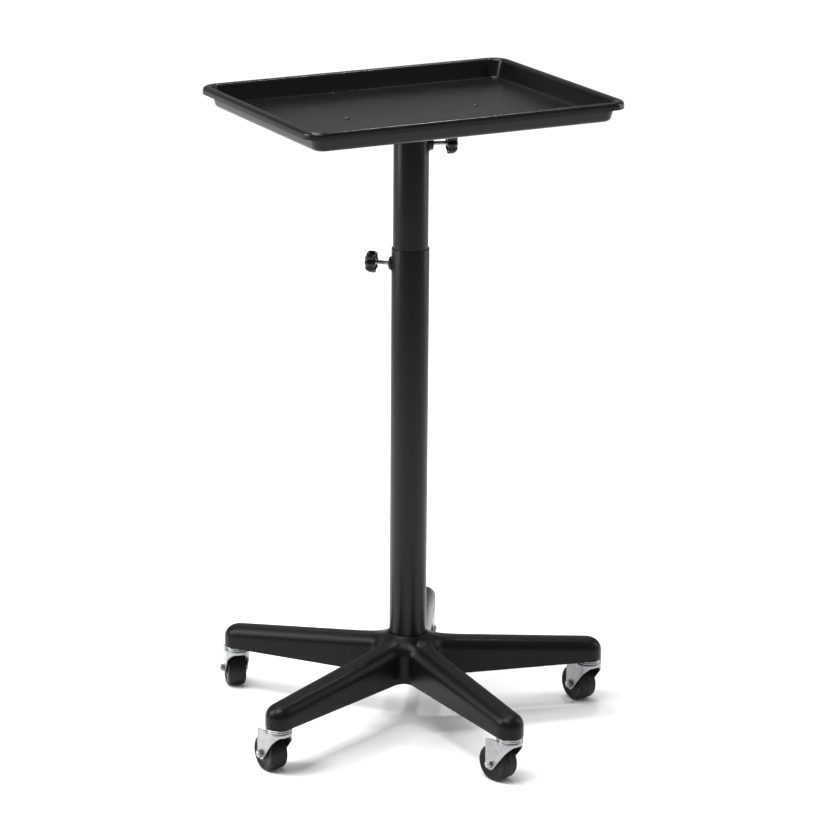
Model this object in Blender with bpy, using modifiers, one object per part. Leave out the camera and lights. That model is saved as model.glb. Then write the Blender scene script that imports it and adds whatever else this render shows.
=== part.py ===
"""Instrument cart: a moulded tray on a telescopic steel column, on a five-arm base with casters.

Metres, +Z up, the floor at z = 0. The tray's long side lies along X. The column stands a little
off the origin, because the origin is the centre of the whole cart's footprint box.
"""
import math

import bmesh
import bpy
from mathutils import Matrix, Vector

# ---- Clearances between pieces
GAP = 0.0003                  # pieces that touch or are welded, and running fits
THREAD_GAP = 0.0003           # a screw in its thread

# ---- Footprint: where the column stands in the cart's frame
COLUMN_X = -0.00246
COLUMN_Y = 0.00755

# ---- Casters
CASTER_COUNT = 5
CASTER_CIRCLE_R = 0.271       # column axis to each stem
FIRST_ARM_ANGLE = math.radians(57.7)
TRAIL_ANGLES = [math.radians(a) for a in (54.0, 75.0, 95.0, 105.0, 97.0)]   # where each wheel trails
WHEEL_R = 0.0254
WHEEL_WIDTH = 0.027
WHEEL_EDGE_R = 0.0035
WHEEL_BOSS_R = 0.0085
WHEEL_BOSS_PROUD = 0.0008
TRAIL = 0.022                 # stem axis to axle, seen from above
AXLE_R = 0.003
BUSH_WALL = 0.0011
FORK_SHEET = 0.0016
FORK_SIDE_GAP = 0.0006        # wheel boss to fork leg
CROWN_R = 0.0186
CROWN_SHEET = 0.0022
CROWN_OVER_WHEEL = 0.0110     # crown's underside above the top of the wheel
LEG_END_R = 0.0085
LEG_EDGE_TURN = math.radians(220)      # where the leg's slanting edge meets its round end
FORK_FRONT_SKIRT = 0.0022     # the sheet below the crown's underside at the front
FORK_KNEE = 0.0155            # ahead of the stem, where the lower edge starts to slant
FORK_KNEE_SKIRT = 0.0034
RACE_GAP = 0.0007             # running gap between the fork's crown and the race
RACE_HEIGHT = 0.0050
STEM_R = 0.0055
STEM_LENGTH = 0.0235          # length of the stem in the arm's socket
RIVET_R = 0.0082
RIVET_HEIGHT = 0.0024
AXLE_HEAD_R = 0.0052
AXLE_HEAD_HEIGHT = 0.0030
AXLE_NUT_R = 0.0056           # to the corners
AXLE_NUT_HEIGHT = 0.0042
AXLE_END = 0.0010             # bolt's end beyond its nut

# ---- Five-arm base
ARM_TIP_HALF = 0.0205         # half the arm's width at the tip
ARM_ROOT_HALF = 0.0225        # and where it leaves the hub
ARM_REACH = 0.018             # arm's end beyond the stem axis
ARM_TIP_HEIGHT = 0.0312
ARM_RISE = 0.0252             # top of the arm, tip to column axis
ARM_UNDER_DROP = 0.0004       # underside, tip to column axis
ARM_TOP_ROUND = 0.016
VALLEY_R = 0.0140             # fillet between neighbouring arms, seen from above
COLLAR_RISE = 0.0112          # how far the hub swells up round the tube
COLLAR_SPREAD = 0.013
ARM_WALL = 0.0035
RIB = 0.004
POCKET_ROOF = 0.0055
POCKET_START = 0.064
POCKET_END = 0.247
SOCKET_FLOOR = 0.0135         # material under the tube, over the bolt head's recess
BOLT_RECESS = 0.0075

# ---- Column
LOWER_TUBE_R = 0.0263
TUBE_WALL = 0.0015
LOWER_TUBE_LENGTH = 0.615
UPPER_TUBE_LENGTH = 0.600
UPPER_TUBE_SHOWING = 0.1840   # how much of the upper tube stands out at this height
PLUG_HEIGHT = 0.012
BOLT_R = 0.004
BOLT_LENGTH = 0.030
BOLT_HEAD_R = 0.0075
BOLT_HEAD_HEIGHT = 0.0050
WASHER_R = 0.0115
WASHER_HEIGHT = 0.0016
GLIDE_COLLAR = 0.008
GLIDE_SPIGOT = 0.016
GLIDE_WALL = 0.0028

# ---- Clamp knobs: the lower one holds the height, the upper one the tray's post
KNOB_R = 0.0156
KNOB_LOBE = 0.0016
KNOB_LOBES = 8
KNOB_HEIGHT = 0.0135
KNOB_STRAIGHT = 0.0075        # from the inner face to where the dome begins
KNOB_CROWN = 0.58             # the dome's flat top against the full size
SCREW_R = 0.003
SCREW_SHOWING = 0.0200        # between the boss and the knob
SCREW_IN_KNOB = 0.0080
BOSS_R = 0.0095
BOSS_FACE = 0.0298            # column axis to the boss's outer face
HEIGHT_KNOB_DROP = 0.0240     # knob's axis under the lower tube's mouth
HEIGHT_KNOB_ANGLE = math.radians(137.2)
TRAY_KNOB_DROP = 0.0379       # knob's axis under the upper tube's top
TRAY_KNOB_ANGLE = math.radians(-17.8)

# ---- Tray and its mounting
TRAY_HALF_X = 0.2395
TRAY_HALF_Y = 0.1805
TRAY_DEPTH = 0.0290
TRAY_SHEET = 0.0025
TRAY_CORNER_R = 0.026
TRAY_RIM_WIDTH = 0.0124       # outer edge to the top of the inner wall
TRAY_LIP = 0.0100             # how far the rim's edge turns down
TRAY_WALL_SLOPE = 0.0055      # how far the inner wall leans in
TRAY_FLOOR_FILLET = 0.004
POST_LENGTH = 0.074
POST_WALL = 0.002
BAR_LENGTH = 0.236
BAR_WIDTH = 0.040
BAR_SHEET = 0.003
TRAY_SCREW_SPACING = 0.197
TRAY_SCREW_R = 0.0025
TRAY_SCREW_HEAD_R = 0.0044
TRAY_SCREW_HEAD_HEIGHT = 0.0024
TRAY_SEAT_MARGIN = 0.0008     # shallow seat round each screw head, beyond the head's edge
TRAY_SEAT_DEPTH = 0.0004
TRAY_NUT_R = 0.0046
TRAY_NUT_HEIGHT = 0.0040

# ---- Heights and radii that follow from the sizes above
AXLE_Z = WHEEL_R
CROWN_UNDER_Z = 2 * WHEEL_R + CROWN_OVER_WHEEL
CROWN_TOP_Z = CROWN_UNDER_Z + CROWN_SHEET
RACE_Z = CROWN_TOP_Z + RACE_GAP
TIP_UNDER_Z = RACE_Z + RACE_HEIGHT + GAP
TIP_TOP_Z = TIP_UNDER_Z + ARM_TIP_HEIGHT
HUB_UNDER_Z = TIP_UNDER_Z - ARM_UNDER_DROP
TUBE_Z = HUB_UNDER_Z + SOCKET_FLOOR + GAP
LOWER_TOP_Z = TUBE_Z + LOWER_TUBE_LENGTH
UPPER_TUBE_R = LOWER_TUBE_R - TUBE_WALL - GAP
UPPER_TOP_Z = LOWER_TOP_Z + UPPER_TUBE_SHOWING
UPPER_Z = UPPER_TOP_Z - UPPER_TUBE_LENGTH
POST_R = UPPER_TUBE_R - TUBE_WALL - GAP
BAR_Z = UPPER_TOP_Z + GAP
TRAY_Z = BAR_Z + BAR_SHEET + GAP
TRAY_TOP_Z = TRAY_Z + TRAY_DEPTH
BUSH_R = AXLE_R + GAP + BUSH_WALL
LEG_INNER = WHEEL_WIDTH / 2 + WHEEL_BOSS_PROUD + FORK_SIDE_GAP
LEG_OUTER = LEG_INNER + FORK_SHEET
SECTOR = math.tau / CASTER_COUNT

# ---- Facets round a turned piece
TUBE_STEPS = 40
SMALL_STEPS = 16
WHEEL_STEPS = 28

# ---- The empty scene and its two collections
for old in list(bpy.data.objects):
    bpy.data.objects.remove(old, do_unlink=True)
parts = bpy.data.collections.new("instrument_cart")
cutters = bpy.data.collections.new("cutters")
bpy.context.scene.collection.children.link(parts)
bpy.context.scene.collection.children.link(cutters)

column = bpy.data.objects.new("column_axis", None)
column.location = (COLUMN_X, COLUMN_Y, 0.0)
parts.objects.link(column)


def material(name, colour, roughness, metallic):
    """A plain Principled material for one piece."""
    mat = bpy.data.materials.new(name)
    mat.use_nodes = True
    shader = mat.node_tree.nodes["Principled BSDF"]
    shader.inputs["Base Color"].default_value = (*colour, 1.0)
    shader.inputs["Roughness"].default_value = roughness
    shader.inputs["Metallic"].default_value = metallic
    return mat


FINISHES = {
    "moulded_black": ((0.028, 0.028, 0.030), 0.45, 0.0),
    "powder_black": ((0.022, 0.022, 0.024), 0.42, 0.0),
    "zinc": ((0.72, 0.73, 0.75), 0.28, 1.0),
    "tread_black": ((0.020, 0.020, 0.021), 0.60, 0.0),
    "plug_grey": ((0.30, 0.31, 0.32), 0.45, 0.6),
}


def add(name, mesh, finish, parent=column, collection=parts):
    """Link a mesh as one named piece with a material of its own."""
    obj = bpy.data.objects.new(name, mesh)
    collection.objects.link(obj)
    if collection is parts:
        colour, roughness, metallic = FINISHES[finish]
        obj.data.materials.append(material(f"{name}_{finish}", colour, roughness, metallic))
    else:
        obj.hide_render = True
        obj.display_type = "WIRE"
    obj.parent = parent
    return obj


def mesh_from(bm, name, smooth=True):
    """Turn a bmesh into a mesh whose faces point out."""
    bmesh.ops.recalc_face_normals(bm, faces=bm.faces)
    mesh = bpy.data.meshes.new(name)
    bm.to_mesh(mesh)
    bm.free()
    if smooth:
        mesh.shade_smooth()
        mesh.set_sharp_from_angle(angle=math.radians(35))
    return mesh


def turned(name, profile, finish, steps=SMALL_STEPS, closed=True, parent=column, collection=parts):
    """A turned piece: (radius, height) points, down the outer side, swept round Z."""
    bm = bmesh.new()
    verts = [bm.verts.new((r, 0.0, z)) for r, z in profile]
    for a, b in zip(verts, verts[1:]):
        bm.edges.new((a, b))
    if closed:
        bm.edges.new((verts[-1], verts[0]))
    mesh = bpy.data.meshes.new(name)
    bm.to_mesh(mesh)
    bm.free()
    obj = add(name, mesh, finish, parent, collection)
    screw = obj.modifiers.new("Turn", "SCREW")
    screw.steps = steps
    screw.render_steps = steps
    screw.use_merge_vertices = True
    screw.merge_threshold = 0.00001
    screw.use_smooth_shade = True
    return obj


def cylinder(name, radius, z0, z1, finish=None, steps=SMALL_STEPS, parent=column, collection=cutters):
    """A plain cylinder along Z, for cutting with unless a finish is given."""
    bm = bmesh.new()
    bmesh.ops.create_cone(bm, cap_ends=True, segments=steps, radius1=radius, radius2=radius,
                          depth=z1 - z0, matrix=Matrix.Translation((0, 0, (z0 + z1) / 2)))
    return add(name, mesh_from(bm, name), finish, parent, collection)


def prism(name, outline, low, high, finish=None, parent=column, collection=cutters):
    """A flat outline in X and Y, extruded along Z."""
    bm = bmesh.new()
    face = bm.faces.new([bm.verts.new((x, y, low)) for x, y in outline])
    raised = bmesh.ops.extrude_face_region(bm, geom=[face])["geom"]
    bmesh.ops.translate(bm, vec=(0, 0, high - low),
                        verts=[v for v in raised if isinstance(v, bmesh.types.BMVert)])
    return add(name, mesh_from(bm, name), finish, parent, collection)


def boolean(obj, other, operation="DIFFERENCE"):
    """Cut, join or keep the common part of a piece with another object."""
    mod = obj.modifiers.new(f"{operation.title()} {other.name}", "BOOLEAN")
    mod.operation = operation
    mod.object = other
    mod.solver = "EXACT"
    return mod


def hex_outline(radius):
    """Six corners."""
    return [(radius * math.cos(k * math.tau / 6), radius * math.sin(k * math.tau / 6)) for k in range(6)]


# ---------------------------------------------------------------- five-arm base
CAP_S = CASTER_CIRCLE_R + ARM_REACH - ARM_TIP_HALF      # centre of the arm's round end
FLANK_SLOPE = (ARM_ROOT_HALF - ARM_TIP_HALF) / CAP_S
FLANK_LENGTH = math.hypot(1.0, FLANK_SLOPE)
BISECTOR = Vector((math.cos(SECTOR / 2), math.sin(SECTOR / 2)))
FLANK_NORMAL = Vector((FLANK_SLOPE, 1.0)) / FLANK_LENGTH
FLANK_ALONG = Vector((1.0, -FLANK_SLOPE)) / FLANK_LENGTH
VALLEY_S = ((VALLEY_R * FLANK_LENGTH + FLANK_SLOPE * CAP_S + ARM_TIP_HALF)
            / (FLANK_SLOPE * BISECTOR.x + BISECTOR.y))
VALLEY_CENTRE = BISECTOR * VALLEY_S
VALLEY_START = VALLEY_CENTRE - FLANK_NORMAL * VALLEY_R  # where the flank ends and the fillet begins
HUB_BORE_R = LOWER_TUBE_R + GAP
ARC_STEPS = [1 - math.cos(math.radians(a)) for a in (0, 25, 52, 90)]   # rounding, from the edge in
VALLEY_STEPS = 4
CAP_STEPS = 6
ARM_STATIONS = 4
SAME_PLACE = 0.000001         # closer than this to the outline is on it


def fold(x, y):
    """The same place on half an arm: along it, and out from its middle line."""
    radius = math.hypot(x, y)
    angle = (math.atan2(y, x) - FIRST_ARM_ANGLE + SECTOR / 2) % SECTOR - SECTOR / 2
    return Vector((radius * math.cos(angle), abs(radius * math.sin(angle))))


def edge_distance(x, y):
    """How far in from the base's outline a place is, seen from above."""
    p = fold(x, y)
    if p.x > CAP_S:
        return ARM_TIP_HALF - (p - Vector((CAP_S, 0))).length
    if (p - VALLEY_START).dot(FLANK_ALONG) < 0:
        return (p - VALLEY_CENTRE).length - VALLEY_R
    return -(p - Vector((CAP_S, ARM_TIP_HALF))).dot(FLANK_NORMAL)


def top_height(x, y):
    """Height of the base's upper surface, with its rounded edge."""
    radius = math.hypot(x, y)
    rise = ARM_RISE * (1 - radius / CASTER_CIRCLE_R)
    collar = COLLAR_RISE * math.exp(-(radius - HUB_BORE_R) / COLLAR_SPREAD)
    inside = max(0.0, ARM_TOP_ROUND - max(0.0, edge_distance(x, y) - SAME_PLACE))
    return TIP_TOP_Z + rise + collar - ARM_TOP_ROUND + math.sqrt(ARM_TOP_ROUND ** 2 - inside ** 2)


def under_height(x, y):
    """Height of the base's underside."""
    return TIP_UNDER_Z - ARM_UNDER_DROP * (1 - math.hypot(x, y) / CASTER_CIRCLE_R)


def flank_half(s):
    """Half the arm's width at a distance from the column."""
    return ARM_TIP_HALF + FLANK_SLOPE * (CAP_S - s)


def arm_fractions():
    """Places across half an arm, 1 at the edge and 0 in the middle."""
    return [1 - step * ARM_TOP_ROUND / ARM_TIP_HALF for step in ARC_STEPS] + [0.0]


def arm_plan():
    """Quads over one arm, seen from above, from its root line to its round end."""
    across = arm_fractions()
    across = across + [-u for u in reversed(across[:-1])]
    root = VALLEY_START.x
    stations = [root + (CAP_S - root) * k / ARM_STATIONS for k in range(ARM_STATIONS + 1)]
    rows = [[(s, u * (VALLEY_START.y if s == root else flank_half(s))) for u in across] for s in stations]
    return rows


def cap_plan():
    """Rings over the arm's round end: each ring runs from one side round to the other."""
    rings = []
    for u in arm_fractions()[:-1]:
        ring = []
        for k in range(CAP_STEPS + 1):
            a = math.pi / 2 - math.pi * k / CAP_STEPS
            ring.append((CAP_S + u * ARM_TIP_HALF * math.cos(a), u * ARM_TIP_HALF * math.sin(a)))
        rings.append(ring)
    return rings


def hub_plan():
    """Columns of places round one sector of the hub, each from its outer edge in to the bore."""
    root = [p for p in arm_plan()[0]][::-1]
    start = (-FLANK_NORMAL).angle_signed(-BISECTOR)
    valley = []
    for k in range(1, VALLEY_STEPS):
        t = k / VALLEY_STEPS * 2
        turn = start * min(t, 1.0) if t <= 1.0 else start
        p = VALLEY_CENTRE - Matrix.Rotation(-turn, 2) @ FLANK_NORMAL * VALLEY_R
        if t > 1.0:
            q = VALLEY_CENTRE - Matrix.Rotation(-start * (2 - t), 2) @ FLANK_NORMAL * VALLEY_R
            p = 2 * q.dot(BISECTOR) * BISECTOR - q
        valley.append((p.x, p.y))
    columns = []
    for x, y in root + valley:
        angle = math.atan2(y, x)
        bore = Vector((math.cos(angle), math.sin(angle))) * HUB_BORE_R
        column_points = []
        for g in hub_fractions():
            p = Vector((x, y)).lerp(bore, g)
            column_points.append((p.x, p.y))
        columns.append(column_points)
    return columns


def hub_fractions():
    """Places from the hub's outer edge in to the bore."""
    reach = VALLEY_S - VALLEY_R - HUB_BORE_R
    return [step * ARM_TOP_ROUND / reach for step in ARC_STEPS] + [0.93, 1.0]


def star_mesh():
    """The base without its pockets and stem sockets: one closed body."""
    bm = bmesh.new()
    made = {}

    def vert(x, y, z):
        key = (round(x, 6), round(y, 6), round(z, 6))
        if key not in made:
            made[key] = bm.verts.new((x, y, z))
        return made[key]

    def quad(corners):
        loop = []
        for corner in corners:
            v = vert(*corner)
            if v not in loop:
                loop.append(v)
        if len(loop) > 2:
            bm.faces.new(loop)

    def skin(a, b, c, d):
        """One patch of the top and the same patch of the underside."""
        quad([(x, y, top_height(x, y)) for x, y in (a, b, c, d)])
        quad([(x, y, under_height(x, y)) for x, y in (d, c, b, a)])

    def wall(a, b):
        """The side between two neighbouring places on the outline."""
        quad([(*a, under_height(*a)), (*b, under_height(*b)), (*b, top_height(*b)), (*a, top_height(*a))])

    for k in range(CASTER_COUNT):
        turn = Matrix.Rotation(FIRST_ARM_ANGLE + k * SECTOR, 2)

        def place(p):
            q = turn @ Vector(p)
            return (q.x, q.y)

        rows = [[place(p) for p in row] for row in arm_plan()]
        for near, far in zip(rows, rows[1:]):
            for j in range(len(near) - 1):
                skin(near[j], near[j + 1], far[j + 1], far[j])
            wall(near[0], far[0])
            wall(far[-1], near[-1])
        rings = [[place(p) for p in ring] for ring in cap_plan()]
        centre = place((CAP_S, 0.0))
        rings.append([centre] * (CAP_STEPS + 1))
        for outer, inner in zip(rings, rings[1:]):
            for j in range(CAP_STEPS):
                skin(outer[j], inner[j], inner[j + 1], outer[j + 1])
        for j in range(CAP_STEPS):
            wall(rings[0][j], rings[0][j + 1])
        columns = [[place(p) for p in points] for points in hub_plan()]
        next_turn = Matrix.Rotation(SECTOR, 2)
        first = [tuple(next_turn @ Vector(p)) for p in columns[0]]
        columns.append(first)
        root_count = len(arm_plan()[0])
        for j in range(len(columns) - 1):
            left, right = columns[j], columns[j + 1]
            for i in range(len(left) - 1):
                skin(left[i], left[i + 1], right[i + 1], right[i])
            if j >= root_count - 1:
                wall(right[0], left[0])
            bore_a = Vector(left[-1]).normalized()
            bore_b = Vector(right[-1]).normalized()
            section = bore_section(left[-1])
            for (r0, z0), (r1, z1) in zip(section, section[1:]):
                quad([(*(bore_a * r0), z0), (*(bore_a * r1), z1), (*(bore_b * r1), z1), (*(bore_b * r0), z0)])
    bmesh.ops.remove_doubles(bm, verts=bm.verts, dist=0.000005)
    return mesh_from(bm, "star_base")


def bore_section(rim):
    """The hub's bore from its mouth down: tube socket, bolt hole and the bolt head's recess."""
    floor_z = HUB_UNDER_Z + SOCKET_FLOOR
    recess_z = HUB_UNDER_Z + BOLT_RECESS
    hole_r = BOLT_R + GAP
    recess_r = WASHER_R + 2 * GAP
    return [(HUB_BORE_R, top_height(*rim)), (HUB_BORE_R, floor_z), (hole_r, floor_z), (hole_r, recess_z),
            (recess_r, recess_z), (recess_r, under_height(*rim)), (HUB_BORE_R, under_height(*rim))]


def pocket_section(s):
    """Half the arm's hollow, seen from its end: (out from the middle, height)."""
    half = flank_half(s)
    top = TIP_TOP_Z + ARM_RISE * (1 - s / CASTER_CIRCLE_R)
    low = TIP_UNDER_Z - ARM_UNDER_DROP - 0.002
    shoulder = top - ARM_TOP_ROUND
    return [(half - ARM_WALL, low), (half - ARM_WALL, shoulder),
            (half - ARM_WALL - 0.35 * ARM_TOP_ROUND, top - 1.75 * POCKET_ROOF),
            (half - ARM_WALL - 0.75 * ARM_TOP_ROUND, top - POCKET_ROOF)]


def make_pockets():
    """The hollows under the arms, two to an arm with a rib between them, as one cutter."""
    bm = bmesh.new()
    middle = (POCKET_START + POCKET_END) / 2
    spans = [(POCKET_START, middle - RIB / 2), (middle + RIB / 2, POCKET_END)]
    for k in range(CASTER_COUNT):
        turn = Matrix.Rotation(FIRST_ARM_ANGLE + k * SECTOR, 4, "Z")
        for ends in spans:
            verts = []
            for s in ends:
                for y, z in pocket_section(s):
                    verts.append(bm.verts.new(turn @ Vector((s, y, z))))
                    verts.append(bm.verts.new(turn @ Vector((s, -y, z))))
            bmesh.ops.convex_hull(bm, input=verts)
    return add("arm_pockets", mesh_from(bm, "arm_pockets"), None, column, cutters)


def stem_place(k):
    """Where caster k's stem is, from the column axis."""
    angle = FIRST_ARM_ANGLE + k * SECTOR
    return Vector((CASTER_CIRCLE_R * math.cos(angle), CASTER_CIRCLE_R * math.sin(angle), 0.0))


def make_base():
    """The five-arm base: hollow arms, a tube socket in the hub and a stem socket in each arm."""
    base = add("star_base", star_mesh(), "moulded_black")
    boolean(base, make_pockets())
    for k in range(CASTER_COUNT):
        socket = cylinder(f"stem_socket_{k + 1}", STEM_R + GAP, TIP_UNDER_Z - 0.01,
                          TIP_UNDER_Z + STEM_LENGTH + GAP)
        socket.location = stem_place(k)
        boolean(base, socket)


# ---------------------------------------------------------------- casters
def fork_wall():
    """The fork's sheet seen from above: round the front, then back along both legs."""
    middle = (LEG_INNER + LEG_OUTER) / 2
    front_r = CROWN_R - FORK_SHEET / 2 - 0.0004
    half = []
    for k in range(6):
        a = math.radians(180 - 14 * k)
        half.append((front_r * math.cos(a), front_r * math.sin(a)))
    half.append((TRAIL - 1.6 * LEG_END_R, middle))
    half.append((TRAIL + LEG_END_R + 0.004, middle))
    return [(x, -y) for x, y in reversed(half[1:])] + [(half[0][0], 0.0)] + half[1:]


def fork_side():
    """The fork seen from the side: (along the trail, height)."""
    back = TRAIL + LEG_END_R
    points = [(back, CROWN_UNDER_Z - 0.0020), (back - 0.0012, CROWN_UNDER_Z - 0.0008),
              (CROWN_R - 0.002, CROWN_TOP_Z - 0.0006), (-CROWN_R - 0.002, CROWN_TOP_Z - 0.0006),
              (-CROWN_R - 0.002, CROWN_UNDER_Z - FORK_FRONT_SKIRT),
              (-FORK_KNEE, CROWN_UNDER_Z - FORK_KNEE_SKIRT)]
    for k in range(6):
        a = LEG_EDGE_TURN + (math.tau - LEG_EDGE_TURN) * k / 5
        points.append((TRAIL + LEG_END_R * math.cos(a), AXLE_Z + LEG_END_R * math.sin(a)))
    return points


def make_fork(name, parent):
    """A pressed fork: a sheet bent round the front, cut to its side view, under a round crown."""
    bm = bmesh.new()
    path = fork_wall()
    low = [bm.verts.new((x, y, AXLE_Z - 2 * LEG_END_R)) for x, y in path]
    high = [bm.verts.new((x, y, CROWN_TOP_Z - 0.0004)) for x, y in path]
    for k in range(len(path) - 1):
        bm.faces.new((low[k], low[k + 1], high[k + 1], high[k]))
    mesh = bpy.data.meshes.new(name)
    bm.to_mesh(mesh)
    bm.free()
    fork = add(name, mesh, "zinc", parent)
    sheet = fork.modifiers.new("Sheet", "SOLIDIFY")
    sheet.thickness = FORK_SHEET
    sheet.offset = 0.0
    sheet.use_even_offset = True
    side = prism(f"{name}_side", fork_side(), -0.03, 0.03, parent=parent)
    side.rotation_euler = (math.pi / 2, 0, 0)
    boolean(fork, side, "INTERSECT")
    crown = cylinder(f"{name}_crown", CROWN_R, CROWN_UNDER_Z, CROWN_TOP_Z, steps=24, parent=parent)
    boolean(fork, crown, "UNION")
    stem_hole = cylinder(f"{name}_stem_hole", STEM_R + GAP, CROWN_UNDER_Z - 0.01, CROWN_TOP_Z + 0.01,
                         parent=parent)
    boolean(fork, stem_hole)
    axle_hole = cylinder(f"{name}_axle_hole", AXLE_R + GAP, -0.03, 0.03, parent=parent)
    axle_hole.location = (TRAIL, 0, AXLE_Z)
    axle_hole.rotation_euler = (math.pi / 2, 0, 0)
    boolean(fork, axle_hole)
    return fork


def wheel_profile():
    """The wheel's section, down its tread: width runs along the height here."""
    half = WHEEL_WIDTH / 2
    side_r = WHEEL_R - WHEEL_EDGE_R
    points = []
    for k in range(4):
        a = math.radians(90 - 30 * k)
        points.append((side_r + WHEEL_EDGE_R * math.cos(a), half - WHEEL_EDGE_R + WHEEL_EDGE_R * math.sin(a)))
    points += [(r, -z) for r, z in reversed(points)]
    bore = BUSH_R + GAP
    boss = half + WHEEL_BOSS_PROUD
    hub = [(WHEEL_BOSS_R, -boss), (bore, -boss), (bore, boss), (WHEEL_BOSS_R, boss)]
    return points + hub


def race_profile():
    """The race over the fork: a pressed cup with a waist between its two rims."""
    z = RACE_Z
    h = RACE_HEIGHT
    inner = STEM_R + GAP
    return [(CROWN_R - 0.0012, z + h), (CROWN_R, z + 0.80 * h), (CROWN_R - 0.0015, z + 0.48 * h),
            (CROWN_R - 0.0003, z + 0.20 * h), (CROWN_R - 0.0012, z), (inner, z), (inner, z + h)]


def stem_profile():
    """The stem: a rivet head under the crown, then the pin up into the arm."""
    head_z = CROWN_UNDER_Z - GAP
    top = TIP_UNDER_Z + STEM_LENGTH
    return [(0, top), (STEM_R - 0.0012, top), (STEM_R, top - 0.0012), (STEM_R, head_z), (RIVET_R, head_z),
            (RIVET_R, head_z - 0.4 * RIVET_HEIGHT), (0.7 * RIVET_R, head_z - RIVET_HEIGHT),
            (0, head_z - RIVET_HEIGHT)]


def axle_bolt_profile():
    """The axle bolt along its own axis: a round head outside one leg, its end beyond the nut."""
    near = -LEG_OUTER - GAP
    far = LEG_OUTER + 2 * GAP + AXLE_NUT_HEIGHT + AXLE_END
    return [(0, far), (AXLE_R - 0.0006, far), (AXLE_R, far - 0.0006), (AXLE_R, near), (AXLE_HEAD_R, near),
            (AXLE_HEAD_R, near - 0.5 * AXLE_HEAD_HEIGHT), (0.72 * AXLE_HEAD_R, near - AXLE_HEAD_HEIGHT),
            (0, near - AXLE_HEAD_HEIGHT)]


def make_nut(name, radius, height, bore_r, parent):
    """A hexagon nut standing on z = 0."""
    nut = prism(name, hex_outline(radius), 0.0, height, "zinc", parent, parts)
    hole = cylinder(f"{name}_bore", bore_r, -0.01, height + 0.01, parent=nut)
    boolean(nut, hole)
    return nut


def make_caster(k):
    """Caster k: the stem and race stay with the arm, the fork swivels and the wheel spins."""
    n = k + 1
    mount = bpy.data.objects.new(f"caster_{n}_swivel", None)
    parts.objects.link(mount)
    mount.parent = column
    mount.location = stem_place(k)
    mount.rotation_euler = (0, 0, TRAIL_ANGLES[k])
    turned(f"caster_{n}_stem", stem_profile(), "zinc", closed=False, parent=mount)
    turned(f"caster_{n}_race", race_profile(), "zinc", steps=24, parent=mount)
    make_fork(f"caster_{n}_fork", mount)
    axle = bpy.data.objects.new(f"caster_{n}_axle", None)
    parts.objects.link(axle)
    axle.parent = mount
    axle.location = (TRAIL, 0, AXLE_Z)
    axle.rotation_euler = (-math.pi / 2, 0, 0)
    turned(f"caster_{n}_wheel", wheel_profile(), "tread_black", steps=WHEEL_STEPS, parent=axle)
    bush_half = LEG_INNER - GAP
    bush_bore = AXLE_R + GAP
    turned(f"caster_{n}_bush", [(BUSH_R, bush_half), (BUSH_R, -bush_half), (bush_bore, -bush_half),
                                (bush_bore, bush_half)], "zinc", parent=axle)
    turned(f"caster_{n}_axle_bolt", axle_bolt_profile(), "zinc", closed=False, parent=axle)
    nut = make_nut(f"caster_{n}_axle_nut", AXLE_NUT_R, AXLE_NUT_HEIGHT, AXLE_R + THREAD_GAP, axle)
    nut.location = (0, 0, LEG_OUTER + GAP)


# ---------------------------------------------------------------- column
def tube_profile(radius, wall, low, high):
    """A tube's wall."""
    return [(radius, high), (radius, low), (radius - wall, low), (radius - wall, high)]


def make_column():
    """Both tubes, the bolted foot of the lower one and the glide on the upper one."""
    turned("lower_tube", tube_profile(LOWER_TUBE_R, TUBE_WALL, TUBE_Z, LOWER_TOP_Z), "powder_black",
           steps=TUBE_STEPS)
    turned("upper_tube", tube_profile(UPPER_TUBE_R, TUBE_WALL, UPPER_Z, UPPER_TOP_Z), "powder_black",
           steps=TUBE_STEPS)
    plug_r = LOWER_TUBE_R - TUBE_WALL - GAP
    turned("foot_plug", tube_profile(plug_r, plug_r - BOLT_R - THREAD_GAP, TUBE_Z, TUBE_Z + PLUG_HEIGHT),
           "plug_grey", steps=32)
    washer_top = HUB_UNDER_Z + BOLT_RECESS - GAP
    turned("foot_washer", tube_profile(WASHER_R, WASHER_R - BOLT_R - GAP, washer_top - WASHER_HEIGHT,
                                       washer_top), "zinc", steps=28)
    make_foot_bolt(washer_top - WASHER_HEIGHT - GAP)
    collar_r = UPPER_TUBE_R
    spigot_r = UPPER_TUBE_R - TUBE_WALL - GAP
    bore_r = spigot_r - GLIDE_WALL
    seat = UPPER_Z - GAP
    turned("upper_tube_glide",
           [(spigot_r - 0.001, seat + GLIDE_SPIGOT), (spigot_r, seat + GLIDE_SPIGOT - 0.001), (spigot_r, seat),
            (collar_r, seat), (collar_r, seat - GLIDE_COLLAR + 0.001),
            (collar_r - 0.001, seat - GLIDE_COLLAR), (bore_r, seat - GLIDE_COLLAR),
            (bore_r, seat + GLIDE_SPIGOT)], "tread_black", steps=24)


def make_foot_bolt(head_top):
    """The hexagon bolt that draws the tube down into the hub."""
    shank = cylinder("foot_bolt_shank", BOLT_R, head_top - 0.5 * BOLT_HEAD_HEIGHT, head_top + BOLT_LENGTH)
    bolt = prism("foot_bolt", hex_outline(BOLT_HEAD_R), head_top - BOLT_HEAD_HEIGHT, head_top, "zinc",
                 column, parts)
    boolean(bolt, shank, "UNION")


# ---------------------------------------------------------------- clamp knobs
def knob_rings():
    """The grip's levels, inner face first: (size against the full outline, height)."""
    rings = [(0.92, 0.0), (1.0, 0.0012), (1.0, KNOB_STRAIGHT)]
    dome = KNOB_HEIGHT - KNOB_STRAIGHT
    for k in range(1, 5):
        a = math.radians(90 * k / 4)
        rings.append((KNOB_CROWN + (1 - KNOB_CROWN) * math.cos(a), KNOB_STRAIGHT + dome * math.sin(a)))
    return rings


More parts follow.
